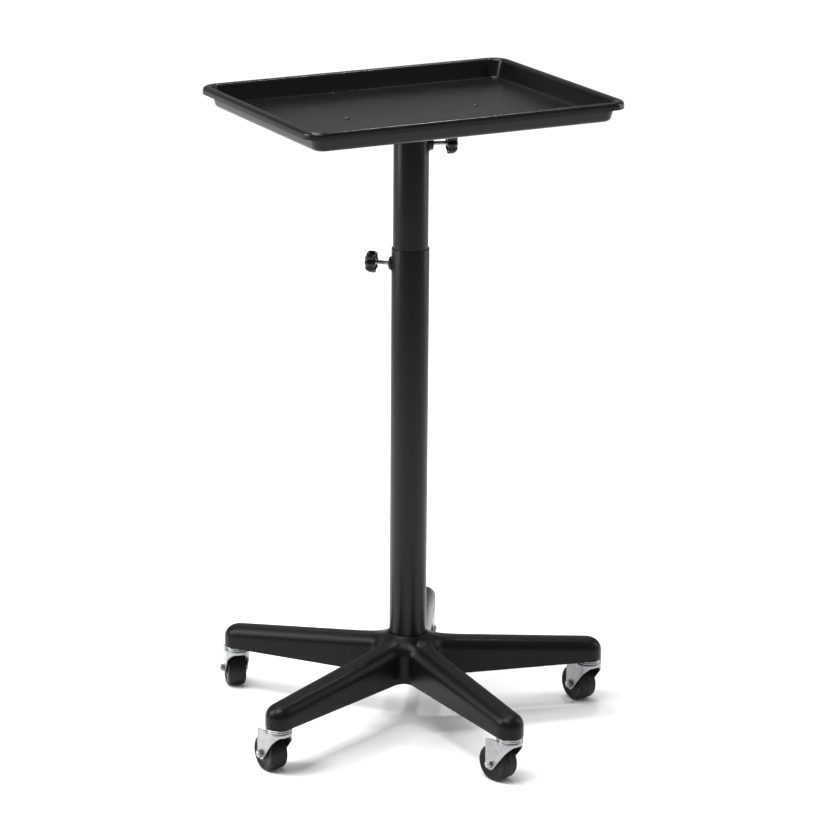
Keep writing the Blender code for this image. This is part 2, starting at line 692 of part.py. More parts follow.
def knob_mesh(name, face_z):
    """A round grip with lobes and a domed outer face, six points to a lobe."""
    bm = bmesh.new()
    count = KNOB_LOBES * 6
    loops = []
    for scale, height in knob_rings():
        loop = []
        for k in range(count):
            a = k * math.tau / count
            r = scale * (KNOB_R - KNOB_LOBE + KNOB_LOBE * math.cos(KNOB_LOBES * a))
            loop.append(bm.verts.new((r * math.cos(a), r * math.sin(a), face_z + height)))
        loops.append(loop)
    for low, high in zip(loops, loops[1:]):
        for k in range(count):
            bm.faces.new((low[k], low[(k + 1) % count], high[(k + 1) % count], high[k]))
    bm.faces.new(loops[0])
    bm.faces.new(loops[-1])
    return mesh_from(bm, name)


def make_clamp(name, angle, height, tube, tube_r, tip_r):
    """A clamp: a boss on the tube, a screw through it to tip_r, and a lobed knob on the screw."""
    axis = bpy.data.objects.new(f"{name}_axis", None)
    parts.objects.link(axis)
    axis.parent = column
    axis.location = (0, 0, height)
    axis.rotation_euler = (0, math.pi / 2, angle)
    hole = cylinder(f"{name}_tube_hole", SCREW_R + 2 * GAP, 0.5 * tube_r, BOSS_FACE, parent=axis)
    boolean(tube, hole)
    saddle = cylinder(f"{name}_saddle", tube_r + GAP, height - 2 * BOSS_R, height + 2 * BOSS_R,
                      steps=TUBE_STEPS)
    saddle.rotation_euler = (0, 0, 0)
    boss = turned(f"{name}_boss",
                  [(BOSS_R - 0.0012, BOSS_FACE), (BOSS_R, BOSS_FACE - 0.0012), (BOSS_R, 0.85 * tube_r),
                   (SCREW_R + THREAD_GAP, 0.85 * tube_r), (SCREW_R + THREAD_GAP, BOSS_FACE)],
                  "powder_black", steps=24, parent=axis)
    boolean(boss, saddle)
    knob_face = BOSS_FACE + SCREW_SHOWING
    end = knob_face + SCREW_IN_KNOB
    turned(f"{name}_screw", [(0, end), (SCREW_R, end), (SCREW_R, tip_r + 0.0008), (SCREW_R - 0.0008, tip_r),
                             (0, tip_r)], "zinc", closed=False, parent=axis)
    knob = add(f"{name}_knob", knob_mesh(f"{name}_knob", knob_face), "moulded_black", axis)
    bore = cylinder(f"{name}_knob_bore", SCREW_R + GAP, knob_face - 0.01, end + GAP, parent=axis)
    boolean(knob, bore)


# ---------------------------------------------------------------- tray
def rounded_rectangle(inset, corner_r, steps=5):
    """Points round the tray at an inset from its outer edge."""
    half_x = TRAY_HALF_X - inset
    half_y = TRAY_HALF_Y - inset
    points = []
    for quarter, (sx, sy) in enumerate(((1, 1), (-1, 1), (-1, -1), (1, -1))):
        for k in range(steps + 1):
            a = math.pi / 2 * (quarter + k / steps)
            points.append((sx * (half_x - corner_r) + corner_r * math.cos(a),
                           sy * (half_y - corner_r) + corner_r * math.sin(a)))
    return points


def tray_section():
    """The tray's upper surface from the floor out to the lip: (inset, depth under the rim)."""
    floor = TRAY_DEPTH - TRAY_SHEET
    wall_foot = TRAY_RIM_WIDTH + TRAY_WALL_SLOPE
    fillet = TRAY_FLOOR_FILLET
    section = []
    for k in range(4):
        a = math.radians(90 * k / 3)
        section.append((wall_foot + fillet * (1 - math.sin(a)), floor - fillet * (1 - math.cos(a))))
    section += [(TRAY_RIM_WIDTH + 0.0006, 0.0030), (TRAY_RIM_WIDTH - 0.0012, 0.0009),
                (TRAY_RIM_WIDTH - 0.0040, 0.0001), (0.0075, 0.0), (0.0030, 0.0008), (0.0008, 0.0030),
                (0.0, TRAY_LIP)]
    return section


def make_tray():
    """The tray: one open skin from the floor to the lip, thickened downwards."""
    bm = bmesh.new()
    loops = []
    for inset, depth in tray_section():
        corner_r = max(TRAY_CORNER_R - 0.7 * inset, TRAY_FLOOR_FILLET)
        loops.append([bm.verts.new((x, y, TRAY_TOP_Z - depth)) for x, y in rounded_rectangle(inset, corner_r)])
    bm.faces.new(loops[0])
    for inner, outer in zip(loops, loops[1:]):
        count = len(inner)
        for k in range(count):
            bm.faces.new((inner[k], outer[k], outer[(k + 1) % count], inner[(k + 1) % count]))
    mesh = bpy.data.meshes.new("tray")
    bm.to_mesh(mesh)
    bm.free()
    mesh.shade_smooth()
    mesh.set_sharp_from_angle(angle=math.radians(35))
    tray = add("tray", mesh, "moulded_black")
    sheet = tray.modifiers.new("Sheet", "SOLIDIFY")
    sheet.thickness = TRAY_SHEET
    sheet.offset = -1.0
    sheet.use_even_offset = True
    for side in (-1, 1):
        hole = cylinder(f"tray_hole_{side}", TRAY_SCREW_R + GAP, BAR_Z - 0.01, TRAY_Z + 0.01)
        seat = cylinder(f"tray_seat_{side}", TRAY_SCREW_HEAD_R + TRAY_SEAT_MARGIN,
                        TRAY_Z + TRAY_SHEET - TRAY_SEAT_DEPTH, TRAY_TOP_Z, steps=20)
        for cutter in (hole, seat):
            cutter.location.x = side * TRAY_SCREW_SPACING / 2
            boolean(tray, cutter)


def make_tray_mount():
    """The post in the upper tube, the bar on it, and the two screws up through the bar."""
    turned("tray_post", tube_profile(POST_R, POST_WALL, BAR_Z - GAP - POST_LENGTH, BAR_Z - GAP), "plug_grey",
           steps=32)
    half_x = BAR_LENGTH / 2
    half_y = BAR_WIDTH / 2
    bar = prism("tray_bar", [(half_x, half_y), (-half_x, half_y), (-half_x, -half_y), (half_x, -half_y)],
                BAR_Z, BAR_Z + BAR_SHEET, "powder_black", column, parts)
    head_z = TRAY_Z + TRAY_SHEET - TRAY_SEAT_DEPTH + GAP
    for side, label in ((-1, "left"), (1, "right")):
        x = side * TRAY_SCREW_SPACING / 2
        hole = cylinder(f"bar_hole_{label}", TRAY_SCREW_R + GAP, BAR_Z - 0.01, BAR_Z + 0.02)
        hole.location.x = x
        boolean(bar, hole)
        end_z = BAR_Z - GAP - TRAY_NUT_HEIGHT - 0.0015
        head_top = head_z + TRAY_SCREW_HEAD_HEIGHT
        screw = turned(f"tray_screw_{label}",
                       [(0, head_top), (0.55 * TRAY_SCREW_HEAD_R, head_top - 0.15 * TRAY_SCREW_HEAD_HEIGHT),
                        (0.88 * TRAY_SCREW_HEAD_R, head_top - 0.50 * TRAY_SCREW_HEAD_HEIGHT),
                        (TRAY_SCREW_HEAD_R, head_z), (TRAY_SCREW_R, head_z), (TRAY_SCREW_R, end_z), (0, end_z)],
                       "powder_black", closed=False)
        screw.location.x = x
        nut = make_nut(f"tray_nut_{label}", TRAY_NUT_R, TRAY_NUT_HEIGHT, TRAY_SCREW_R + THREAD_GAP, column)
        nut.location = (x, 0, BAR_Z - GAP - TRAY_NUT_HEIGHT)


make_base()
for index in range(CASTER_COUNT):
    make_caster(index)
make_column()
make_clamp("height", HEIGHT_KNOB_ANGLE, LOWER_TOP_Z - HEIGHT_KNOB_DROP, bpy.data.objects["lower_tube"],
           LOWER_TUBE_R, UPPER_TUBE_R + GAP)
make_clamp("tray_lock", TRAY_KNOB_ANGLE, UPPER_TOP_Z - TRAY_KNOB_DROP, bpy.data.objects["upper_tube"],
           UPPER_TUBE_R, POST_R + GAP)
make_tray_mount()
make_tray()
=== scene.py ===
import math

import bmesh
import bpy
from mathutils import Matrix, Vector, noise


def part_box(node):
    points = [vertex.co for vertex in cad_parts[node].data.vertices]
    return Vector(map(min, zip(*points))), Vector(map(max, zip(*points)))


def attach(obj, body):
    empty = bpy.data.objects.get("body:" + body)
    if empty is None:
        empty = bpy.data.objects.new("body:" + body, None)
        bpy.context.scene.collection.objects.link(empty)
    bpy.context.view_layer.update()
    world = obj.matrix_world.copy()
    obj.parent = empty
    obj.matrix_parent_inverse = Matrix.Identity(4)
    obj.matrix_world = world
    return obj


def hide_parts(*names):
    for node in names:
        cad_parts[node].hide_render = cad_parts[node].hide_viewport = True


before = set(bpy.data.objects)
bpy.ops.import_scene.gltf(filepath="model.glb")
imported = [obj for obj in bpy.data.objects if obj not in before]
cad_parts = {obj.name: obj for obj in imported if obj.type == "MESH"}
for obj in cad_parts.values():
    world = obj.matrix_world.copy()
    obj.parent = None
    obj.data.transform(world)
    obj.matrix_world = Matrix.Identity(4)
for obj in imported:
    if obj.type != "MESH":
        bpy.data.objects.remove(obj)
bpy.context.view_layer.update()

# ---------------------------------------------------------------- star base
# One injection moulding in black glass-filled nylon: five arms that rise to a hub, hollow below
# with a rib across each. The mould's face is spark-eroded, so the surface has a fine, even grain.
# The column drops into the hub and each caster's stem into an arm's end.
ARM_COUNT = 5
TIP_HALF = 0.0205             # half the arm's width at its end, and where it leaves the hub
ROOT_HALF = 0.0225
TIP_REACH = 0.018             # arm's end beyond the stem
TIP_HEIGHT = 0.0312
ARM_RISE = 0.0252             # from the stem to the hub, on top
UNDER_DROP = 0.0004           # and underneath
SHOULDER_R = 0.016            # rounding along the arm's upper edges
FOOT_R = 0.0012               # and along its lower edges
VALLEY_R = 0.0140
COLLAR_RISE = 0.0112
COLLAR_SPREAD = 0.013
MOUTH_R = 0.0010
TUBE_GAP = 0.0003
SOCKET_FLOOR = 0.0135
BOLT_RECESS = 0.0075
BOLT_R = 0.004
WASHER_R = 0.0115
ARM_STATIONS = 26
END_STEPS = 8
SIDE_STEPS = 4
SHOULDER_STEPS = 10
MOUTH_SHARES = [0.88, 0.94, 1.0]
POCKET_WALL = 0.0035
POCKET_ROOF = 0.0055
POCKET_SPANS = ((0.064, 0.1535), (0.1575, 0.247))
POCKET_FILLET = 0.0015
POCKET_PAST = 0.006
STEM_R = 0.0055
STEM_LENGTH = 0.0235
CUT_PAST = 0.01               # how far a cutter runs on past the face it cuts

tube_low, tube_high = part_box("lower_tube")
base_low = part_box("star_base")[0]
stem_low, stem_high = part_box("caster_1_stem")
column = Vector(((tube_low.x + tube_high.x) / 2, (tube_low.y + tube_high.y) / 2, 0.0))
tube_r = (tube_high.x - tube_low.x) / 2
first_stem = (stem_low + stem_high) / 2 - column
stem_circle = first_stem.xy.length
first_arm = math.atan2(first_stem.y, first_stem.x)
hub_bore = tube_r + TUBE_GAP
hub_under = base_low.z
tip_under = hub_under + UNDER_DROP
tip_top = tip_under + TIP_HEIGHT
cap_at = stem_circle + TIP_REACH - TIP_HALF
sector = math.tau / ARM_COUNT
slope = (ROOT_HALF - TIP_HALF) / cap_at
flank_out = Vector((slope, 1.0)).normalized()
flank_along = Vector((1.0, -slope)).normalized()
bisector = Vector((math.cos(sector / 2), math.sin(sector / 2)))
valley_at = ((VALLEY_R * math.hypot(1.0, slope) + slope * cap_at + TIP_HALF)
             / (slope * bisector.x + bisector.y))
valley_centre = bisector * valley_at
valley_start = valley_centre - flank_out * VALLEY_R


def inset_from_edge(x, y):
    """How far in from the base's outline a place on half an arm is; x runs along the arm."""
    p = Vector((x, y))
    if x > cap_at:
        return TIP_HALF - (p - Vector((cap_at, 0.0))).length
    if (p - valley_start).dot(flank_along) < 0:
        return (p - valley_centre).length - VALLEY_R
    return -(p - Vector((cap_at, TIP_HALF))).dot(flank_out)


def rounded_drop(inset, radius):
    """How far a quarter-round edge falls away at an inset from the outline."""
    inside = radius - min(max(inset, 0.0), radius)
    return radius - math.sqrt(radius * radius - inside * inside)


def upper_point(x, y):
    """The point of the base's upper face over a place on half an arm."""
    reach = math.hypot(x, y)
    swell = COLLAR_RISE * math.exp(-(reach - hub_bore) / COLLAR_SPREAD)
    rise = ARM_RISE * (1 - reach / stem_circle)
    return Vector((x, y, tip_top + rise + swell - rounded_drop(inset_from_edge(x, y), SHOULDER_R)))


def lower_point(x, y):
    """The point of its lower face under the same place."""
    drop = UNDER_DROP * (1 - math.hypot(x, y) / stem_circle)
    return Vector((x, y, tip_under - drop + rounded_drop(inset_from_edge(x, y), FOOT_R)))


def star_patches():
    """Four-cornered patches over half of one arm: its skins, its side and the hub's bore."""
    patches = []
    insets = [SHOULDER_R * (1 - math.cos(math.radians(90 / SHOULDER_STEPS * k)))
              for k in range(SHOULDER_STEPS + 1)]
    insets = sorted(insets + [0.3 * FOOT_R, FOOT_R])

    def skins(rows):
        for near, far in zip(rows, rows[1:]):
            for j in range(len(near) - 1):
                ring = (near[j], near[j + 1], far[j + 1], far[j])
                patches.append([upper_point(*p) for p in ring])
                patches.append([lower_point(*p) for p in reversed(ring)])

    def side(edge):
        for ends in zip(edge, edge[1:]):
            a, b = ([lower_point(*p).lerp(upper_point(*p), k / SIDE_STEPS) for k in range(SIDE_STEPS + 1)]
                    for p in ends)
            for k in range(SIDE_STEPS):
                patches.append([a[k], b[k], b[k + 1], a[k + 1]])

    arm = []
    for k in range(ARM_STATIONS + 1):
        s = valley_start.x + (cap_at - valley_start.x) * k / ARM_STATIONS
        half = valley_start.y if k == 0 else TIP_HALF + slope * (cap_at - s)
        arm.append([(s, half - d) for d in insets] + [(s, 0.0)])
    skins(arm)
    cap = []
    for k in range(END_STEPS + 1):
        a = math.pi / 2 * (1 - k / END_STEPS)
        cap.append([(cap_at + (TIP_HALF - d) * math.cos(a), (TIP_HALF - d) * math.sin(a))
                    for d in insets] + [(cap_at, 0.0)])
    skins(cap)
    turn = math.acos(max(-1.0, min(1.0, flank_out.dot(bisector))))
    valley = []
    for k in range(1, END_STEPS + 1):
        out = Matrix.Rotation(-turn * k / END_STEPS, 2) @ flank_out
        spot = valley_centre - out * VALLEY_R
        valley.append((spot.x, spot.y))
    starts = list(reversed(arm[0])) + valley
    reach = valley_at - VALLEY_R - hub_bore - MOUTH_R
    shares = [d / reach for d in insets] + MOUTH_SHARES
    hub = []
    for x, y in starts:
        rim = Vector((x, y)).normalized() * (hub_bore + MOUTH_R)
        hub.append([tuple(Vector((x, y)).lerp(rim, g)) for g in shares])
    skins(hub)
    side([row[0] for row in arm])
    side([row[0] for row in cap])
    side([row[0] for row in hub[len(arm[0]) - 1:]])
    mouth_z = upper_point(hub_bore + MOUTH_R, 0.0).z
    floor_z = hub_under + SOCKET_FLOOR
    recess_z = hub_under + BOLT_RECESS
    under_z = lower_point(hub_bore + MOUTH_R, 0.0).z
    hole = BOLT_R + TUBE_GAP
    recess = WASHER_R + 2 * TUBE_GAP
    section = [(hub_bore + MOUTH_R, mouth_z), (hub_bore + 0.3 * MOUTH_R, mouth_z - 0.3 * MOUTH_R),
               (hub_bore, mouth_z - MOUTH_R), (hub_bore, floor_z), (hole, floor_z), (hole, recess_z),
               (recess, recess_z), (recess, under_z), (hub_bore + MOUTH_R, under_z)]
    for left, right in zip(hub, hub[1:]):
        a = Vector(left[-1]).normalized()
        b = Vector(right[-1]).normalized()
        for (r0, z0), (r1, z1) in zip(section, section[1:]):
            corners = ((a, r0, z0), (a, r1, z1), (b, r1, z1), (b, r0, z0))
            patches.append([Vector((*(v * r), z)) for v, r, z in corners])
    return patches


def closed_mesh(bm, name="work"):
    """A bmesh made into a mesh whose faces point out."""
    bmesh.ops.remove_doubles(bm, verts=bm.verts, dist=0.000002)
    bmesh.ops.recalc_face_normals(bm, faces=bm.faces)
    mesh = bpy.data.meshes.new(name)
    bm.to_mesh(mesh)
    bm.free()
    return mesh


def star_mesh():
    """The whole base from its half arm, mirrored and turned to each caster."""
    bm = bmesh.new()
    made = {}
    for patch in star_patches():
        for side in (1, -1):
            for k in range(ARM_COUNT):
                turn = Matrix.Rotation(first_arm + k * sector, 3, "Z")
                loop = []
                for p in patch:
                    q = turn @ Vector((p.x, side * p.y, p.z))
                    key = (round(q.x, 6), round(q.y, 6), round(q.z, 6))
                    if key not in made:
                        made[key] = bm.verts.new(q + column)
                    if made[key] not in loop:
                        loop.append(made[key])
                if len(loop) > 2 and bm.faces.get(loop) is None:
                    bm.faces.new(loop)
    return closed_mesh(bm)


def pocket_cutter(k, ends):
    """One hollow under arm k, with rounded corners."""
    bm = bmesh.new()
    turn = Matrix.Translation(column) @ Matrix.Rotation(first_arm + k * sector, 4, "Z")
    corners = []
    for s in ends:
        half = TIP_HALF + slope * (cap_at - s) - POCKET_WALL
        top = tip_top + ARM_RISE * (1 - s / stem_circle)
        for y, z in ((half, tip_under - POCKET_PAST), (half, top - SHOULDER_R),
                     (half - 0.35 * SHOULDER_R, top - 1.75 * POCKET_ROOF),
                     (half - 0.75 * SHOULDER_R, top - POCKET_ROOF)):
            corners.append(bm.verts.new(turn @ Vector((s, y, z))))
            corners.append(bm.verts.new(turn @ Vector((s, -y, z))))
    bmesh.ops.convex_hull(bm, input=corners)
    bmesh.ops.dissolve_limit(bm, angle_limit=0.01, verts=bm.verts, edges=bm.edges)
    bmesh.ops.bevel(bm, geom=list(bm.edges), offset=POCKET_FILLET, segments=2, affect="EDGES",
                    profile=0.5, clamp_overlap=True)
    return closed_mesh(bm)


def bridge(bm, pairs, steps):
    """Faces between pairs of rings, either of which may be a single point."""
    for near, far in pairs:
        for k in range(steps):
            loop = [near[k % len(near)], far[k % len(far)],
                    far[(k + 1) % len(far)], near[(k + 1) % len(near)]]
            loop = [v for n, v in enumerate(loop) if v not in loop[:n]]
            if len(loop) > 2:
                bm.faces.new(loop)


def turned(profile, steps, place=Matrix.Identity(4), closed=True):
    """An outline of (radius, height) points turned round Z and put in its place."""
    bm = bmesh.new()
    rings = []
    for r, z in profile:
        if r < 1e-7:
            rings.append([bm.verts.new(place @ Vector((0.0, 0.0, z)))])
        else:
            rings.append([bm.verts.new(place @ Vector((r * math.cos(a), r * math.sin(a), z)))
                          for a in (math.tau * k / steps for k in range(steps))])
    pairs = list(zip(rings, rings[1:]))
    if closed:
        pairs.append((rings[-1], rings[0]))
    bridge(bm, pairs, steps)
    return closed_mesh(bm)


def plug_cutter(radius, low, high, place=Matrix.Identity(4), steps=32):
    """A plain round cutter along Z."""
    return turned([(0.0, high), (radius, high), (radius, low), (0.0, low)], steps, place, closed=False)


def linked(name, data):
    """A new object in the scene."""
    made = bpy.data.objects.new(name, data)
    bpy.context.scene.collection.objects.link(made)
    return made


def applied(blank):
    """The mesh of an object after its modifiers; the object itself goes."""
    depsgraph = bpy.context.evaluated_depsgraph_get()
    depsgraph.update()
    made = bpy.data.meshes.new_from_object(blank.evaluated_get(depsgraph))
    bpy.data.objects.remove(blank)
    return made


def worked(mesh, others=(), operation="DIFFERENCE", edge=0.0, segments=2, angle=35.0):
    """A mesh after solids are cut from it, joined to it or kept in common, with its edges rounded."""
    blank = linked("blank", mesh)
    tools = []
    for other in others:
        tool = linked("tool", other)
        tools.append(tool)
        cut = blank.modifiers.new("cut", "BOOLEAN")
        cut.operation = operation
        cut.solver = "EXACT"
        cut.object = tool
    if edge > 0:
        rounding = blank.modifiers.new("rounding", "BEVEL")
        rounding.width = edge
        rounding.segments = segments
        rounding.limit_method = "ANGLE"
        rounding.angle_limit = math.radians(angle)
    made = applied(blank)
    for tool in tools:
        bpy.data.objects.remove(tool)
    return made


def show(name, mesh, body, slot, finish, *nodes, sharp=35.0):
    """One finished piece: it moves with its body and stands for its CAD nodes."""
    mesh.name = name
    mesh.shade_smooth()
    mesh.set_sharp_from_angle(angle=math.radians(sharp))
    mesh.materials.clear()
    mesh.materials.append(finish)
    piece = linked(name, mesh)
    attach(piece, body)
    if nodes:
        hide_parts(*nodes)
    return piece


def surface(name, tones, roughness, grain_size, grain_depth, metallic=0.0, blotch=0.08,
            specular=0.5, worley=0.0):
    """A finish with cloudy colour and gloss, and a grain of a given size and depth in metres."""
    finish = bpy.data.materials.new(name)
    finish.use_nodes = True
    nodes = finish.node_tree.nodes
    links = finish.node_tree.links
    shader = nodes["Principled BSDF"]
    shader.inputs["Metallic"].default_value = metallic
    shader.inputs["Specular IOR Level"].default_value = specular
    place = nodes.new("ShaderNodeTexCoord")
    clouds = nodes.new("ShaderNodeTexNoise")
    clouds.inputs["Scale"].default_value = 1 / blotch
    clouds.inputs["Detail"].default_value = 5.0
    clouds.inputs["Roughness"].default_value = 0.62
    links.new(place.outputs["Object"], clouds.inputs["Vector"])
    colours = nodes.new("ShaderNodeValToRGB")
    for stop, tone, position in zip(colours.color_ramp.elements, tones, (0.25, 0.75)):
        stop.position = position
        stop.color = (*tone, 1.0)
    links.new(clouds.outputs["Fac"], colours.inputs["Fac"])
    links.new(colours.outputs["Color"], shader.inputs["Base Color"])
    grain = nodes.new("ShaderNodeTexNoise")
    grain.inputs["Scale"].default_value = 1 / grain_size
    grain.inputs["Detail"].default_value = 3.0
    links.new(place.outputs["Object"], grain.inputs["Vector"])
    gloss = nodes.new("ShaderNodeMapRange")
    for socket, value in zip(("From Min", "From Max", "To Min", "To Max"), (0.3, 0.7, *roughness)):
        gloss.inputs[socket].default_value = value
    links.new(clouds.outputs["Fac"], gloss.inputs["Value"])
    links.new(gloss.outputs["Result"], shader.inputs["Roughness"])
    height = grain.outputs["Fac"]
    if worley > 0:
        cells = nodes.new("ShaderNodeTexVoronoi")
        cells.inputs["Scale"].default_value = 1 / (grain_size * worley)
        links.new(place.outputs["Object"], cells.inputs["Vector"])
        both = nodes.new("ShaderNodeMath")
        both.operation = "MULTIPLY_ADD"
        both.inputs[1].default_value = 0.6
        links.new(cells.outputs["Distance"], both.inputs[0])
        links.new(grain.outputs["Fac"], both.inputs[2])
        height = both.outputs["Value"]
    bump = nodes.new("ShaderNodeBump")
    bump.inputs["Strength"].default_value = 1.0
    bump.inputs["Distance"].default_value = grain_depth
    links.new(height, bump.inputs["Height"])
    links.new(bump.outputs["Normal"], shader.inputs["Normal"])
    return finish


grained_nylon = surface("grained_black_nylon", ((0.0040, 0.0040, 0.0042), (0.0060, 0.0060, 0.0063)),
                        (0.26, 0.34), 0.0013, 0.00018, worley=1.1, specular=0.14)
cutters = []
for k in range(ARM_COUNT):
    for ends in POCKET_SPANS:
        cutters.append(pocket_cutter(k, ends))
    arm_end = (Matrix.Translation(column) @ Matrix.Rotation(first_arm + k * sector, 4, "Z")
               @ Matrix.Translation((stem_circle, 0, 0)))
    cutters.append(plug_cutter(STEM_R + TUBE_GAP, tip_under - CUT_PAST,
                               tip_under + STEM_LENGTH + TUBE_GAP, arm_end))
show("star_base_moulding", worked(star_mesh(), cutters), "base", "moulded_base", grained_nylon, "star_base")

# ---------------------------------------------------------------- lower tube and its foot
# A length of 52 mm drawn steel tube, 1.5 mm thick, with its cut ends deburred and a black powder
# coat baked on. A steel plug is welded inside its foot, and a zinc-plated M8 bolt with a washer
# comes up from under the hub and draws the tube down into its socket.
TUBE_WALL = 0.0015
END_R = 0.0005
TUBE_STEPS = 128
HEX_HEAD_R = 0.0075
HEX_HEAD_HEIGHT = 0.0050
BOLT_PITCH = 0.00125
BOLT_LAP = 0.002              # how far a shank runs into its head
THREAD_DEPTH = 0.61           # as a share of the pitch
ROWS_PER_TURN = 8
HEX_FLAT = 0.866              # a flat's distance over a corner's
ROUND_EDGE = 0.0003


def tube_outline(radius, wall, low, high):
    """A tube's wall, its ends rounded where they were deburred."""
    inner = radius - wall
    return [(radius, low + END_R), (radius - 0.3 * END_R, low + 0.3 * END_R), (radius - END_R, low),
            (inner + 0.6 * END_R, low), (inner, low + 0.6 * END_R),
            (inner, high - 0.6 * END_R), (inner + 0.6 * END_R, high),
            (radius - END_R, high), (radius - 0.3 * END_R, high - 0.3 * END_R), (radius, high - END_R)]


def threaded_rod(radius, pitch, low, high, place=Matrix.Identity(4), steps=32):
    """A threaded rod along Z with chamfered ends."""
    depth = THREAD_DEPTH * pitch
    rows = max(ROWS_PER_TURN, round((high - low) / pitch * ROWS_PER_TURN))
    bm = bmesh.new()
    rings = []
    for i in range(rows + 1):
        z = low + (high - low) * i / rows
        from_end = min(z - low, high - z)
        ring = []
        for k in range(steps):
            turn = (z / pitch - k / steps) % 1.0
            cut = depth * min(1.0, max(0.0, 1.5 * (1 - abs(2 * turn - 1)) - 0.2))
            r = min(radius - cut, radius - depth + 0.9 * from_end)
            a = math.tau * k / steps
            ring.append(bm.verts.new(place @ Vector((r * math.cos(a), r * math.sin(a), z))))
        rings.append(ring)
    for lower, upper in zip(rings, rings[1:]):
        for k in range(steps):
            bm.faces.new((lower[k], lower[(k + 1) % steps], upper[(k + 1) % steps], upper[k]))
    bm.faces.new(rings[0])
    bm.faces.new(rings[-1])
    return closed_mesh(bm)


def drawn_out(outline, way):
    """A solid between a flat outline and the same outline further along."""
    bm = bmesh.new()
    face = bm.faces.new([bm.verts.new(point) for point in outline])
    raised = bmesh.ops.extrude_face_region(bm, geom=[face])["geom"]
    bmesh.ops.translate(bm, vec=way, verts=[v for v in raised if isinstance(v, bmesh.types.BMVert)])
    return closed_mesh(bm)


def hex_blank(radius, low, high):
    """A hexagon along Z whose corners are turned off at both ends."""
    corners = [(radius * math.cos(k * math.tau / 6), radius * math.sin(k * math.tau / 6), low)
               for k in range(6)]
    flat = HEX_FLAT * radius
    turn_off = 0.5 * (radius - flat)
    barrel = turned([(0.0, high), (0.95 * flat, high), (radius, high - turn_off), (radius, low + turn_off),
                     (0.95 * flat, low), (0.0, low)], 48, closed=False)
    return worked(drawn_out(corners, (0, 0, high - low)), [barrel], "INTERSECT")


def plain_tube(radius, wall, low, high, steps=64, edge=ROUND_EDGE):
    """A short collar, washer or plug with slightly rounded edges."""
    inner = radius - wall
    return turned([(radius, low + edge), (radius - edge, low), (inner + edge, low), (inner, low + edge),
                   (inner, high - edge), (inner + edge, high), (radius - edge, high),
                   (radius, high - edge)], steps)


def column_ring(node, radius, wall, steps=64):
    """A plain tube on the column's axis, as high as its CAD node."""
    low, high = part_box(node)
    made = plain_tube(radius, wall, low.z, high.z, steps)
    made.transform(at_column)
    return made


powder_coat = surface("black_powder_coat", ((0.0040, 0.0040, 0.0042), (0.0055, 0.0055, 0.0057)),
                      (0.28, 0.36), 0.0016, 0.000035, specular=0.23)
bright_zinc = surface("bright_zinc_plate", ((0.32, 0.325, 0.335), (0.47, 0.475, 0.48)),
                      (0.20, 0.34), 0.0011, 0.000020, metallic=1.0, blotch=0.012)
bare_steel = surface("oiled_steel", ((0.26, 0.26, 0.27), (0.40, 0.40, 0.41)),
                     (0.30, 0.50), 0.0009, 0.000020, metallic=1.0, blotch=0.02)

SCREW_R = 0.003
SCREW_HOLE_PAST = 0.004
at_column = Matrix.Translation(column)


def clamp_place(knob_node):
    """The clamp's own frame: Z out along its screw from the column's axis, X down."""
    low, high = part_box(knob_node)
    centre = (low + high) / 2
    angle = math.atan2(centre.y - column.y, centre.x - column.x)
    return (Matrix.Translation((column.x, column.y, centre.z)) @ Matrix.Rotation(angle, 4, "Z")
            @ Matrix.Rotation(math.pi / 2, 4, "Y"))


height_clamp = clamp_place("height_knob")
lower_tube = turned(tube_outline(tube_r, TUBE_WALL, tube_low.z, tube_high.z), TUBE_STEPS, at_column)
screw_hole = plug_cutter(SCREW_R + 2 * TUBE_GAP, 0.5 * tube_r, tube_r + SCREW_HOLE_PAST, height_clamp)
show("lower_tube_coated", worked(lower_tube, [screw_hole]), "base", "powder_coat", powder_coat, "lower_tube")
plug_r = tube_r - TUBE_WALL - TUBE_GAP
show("foot_plug_turned", column_ring("foot_plug", plug_r, plug_r - BOLT_R - TUBE_GAP),
     "base", "bare_steel", bare_steel, "foot_plug")
show("foot_washer_plated", column_ring("foot_washer", WASHER_R, WASHER_R - BOLT_R - TUBE_GAP),
     "base", "zinc_plate", bright_zinc, "foot_washer")
bolt_low, bolt_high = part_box("foot_bolt")
foot_bolt = worked(hex_blank(HEX_HEAD_R, bolt_low.z, bolt_low.z + HEX_HEAD_HEIGHT),
                   [threaded_rod(BOLT_R, BOLT_PITCH, bolt_low.z + BOLT_LAP, bolt_high.z)], "UNION")
foot_bolt.transform(at_column)
show("foot_bolt_plated", foot_bolt, "base", "zinc_plate", bright_zinc, "foot_bolt")

# ---------------------------------------------------------------- height clamp
# A steel boss is welded to the lower tube near its mouth and coated with it. A zinc-plated M6
# screw runs through the boss and presses on the upper tube. Its knob is moulded on in black
# plastic: eight lobes for the fingers, and a hollow with ribs on the side towards the tube.
BOSS_R = 0.0095
BOSS_FACE = 0.0298
BOSS_EDGE = 0.0012
BORE_CHAMFER = 0.0007
WELD_R = 0.0013
WELD_STEPS = 120
WELD_RIPPLES = 26
BEAD_STEPS = 10
SCREW_SHOWING = 0.0200
SCREW_IN_KNOB = 0.0080
SCREW_PITCH = 0.001
KNOB_R = 0.0156
KNOB_LOBE = 0.0016
KNOB_LOBES = 8
STEPS_PER_LOBE = 14
KNOB_HEIGHT = 0.0135
KNOB_STRAIGHT = 0.0075
KNOB_CROWN = 0.58
KNOB_HUB_R = 0.0056
KNOB_RIM = 0.0030
KNOB_HOLLOW = 0.0058
KNOB_RIB = 0.0014
knob_face = BOSS_FACE + SCREW_SHOWING


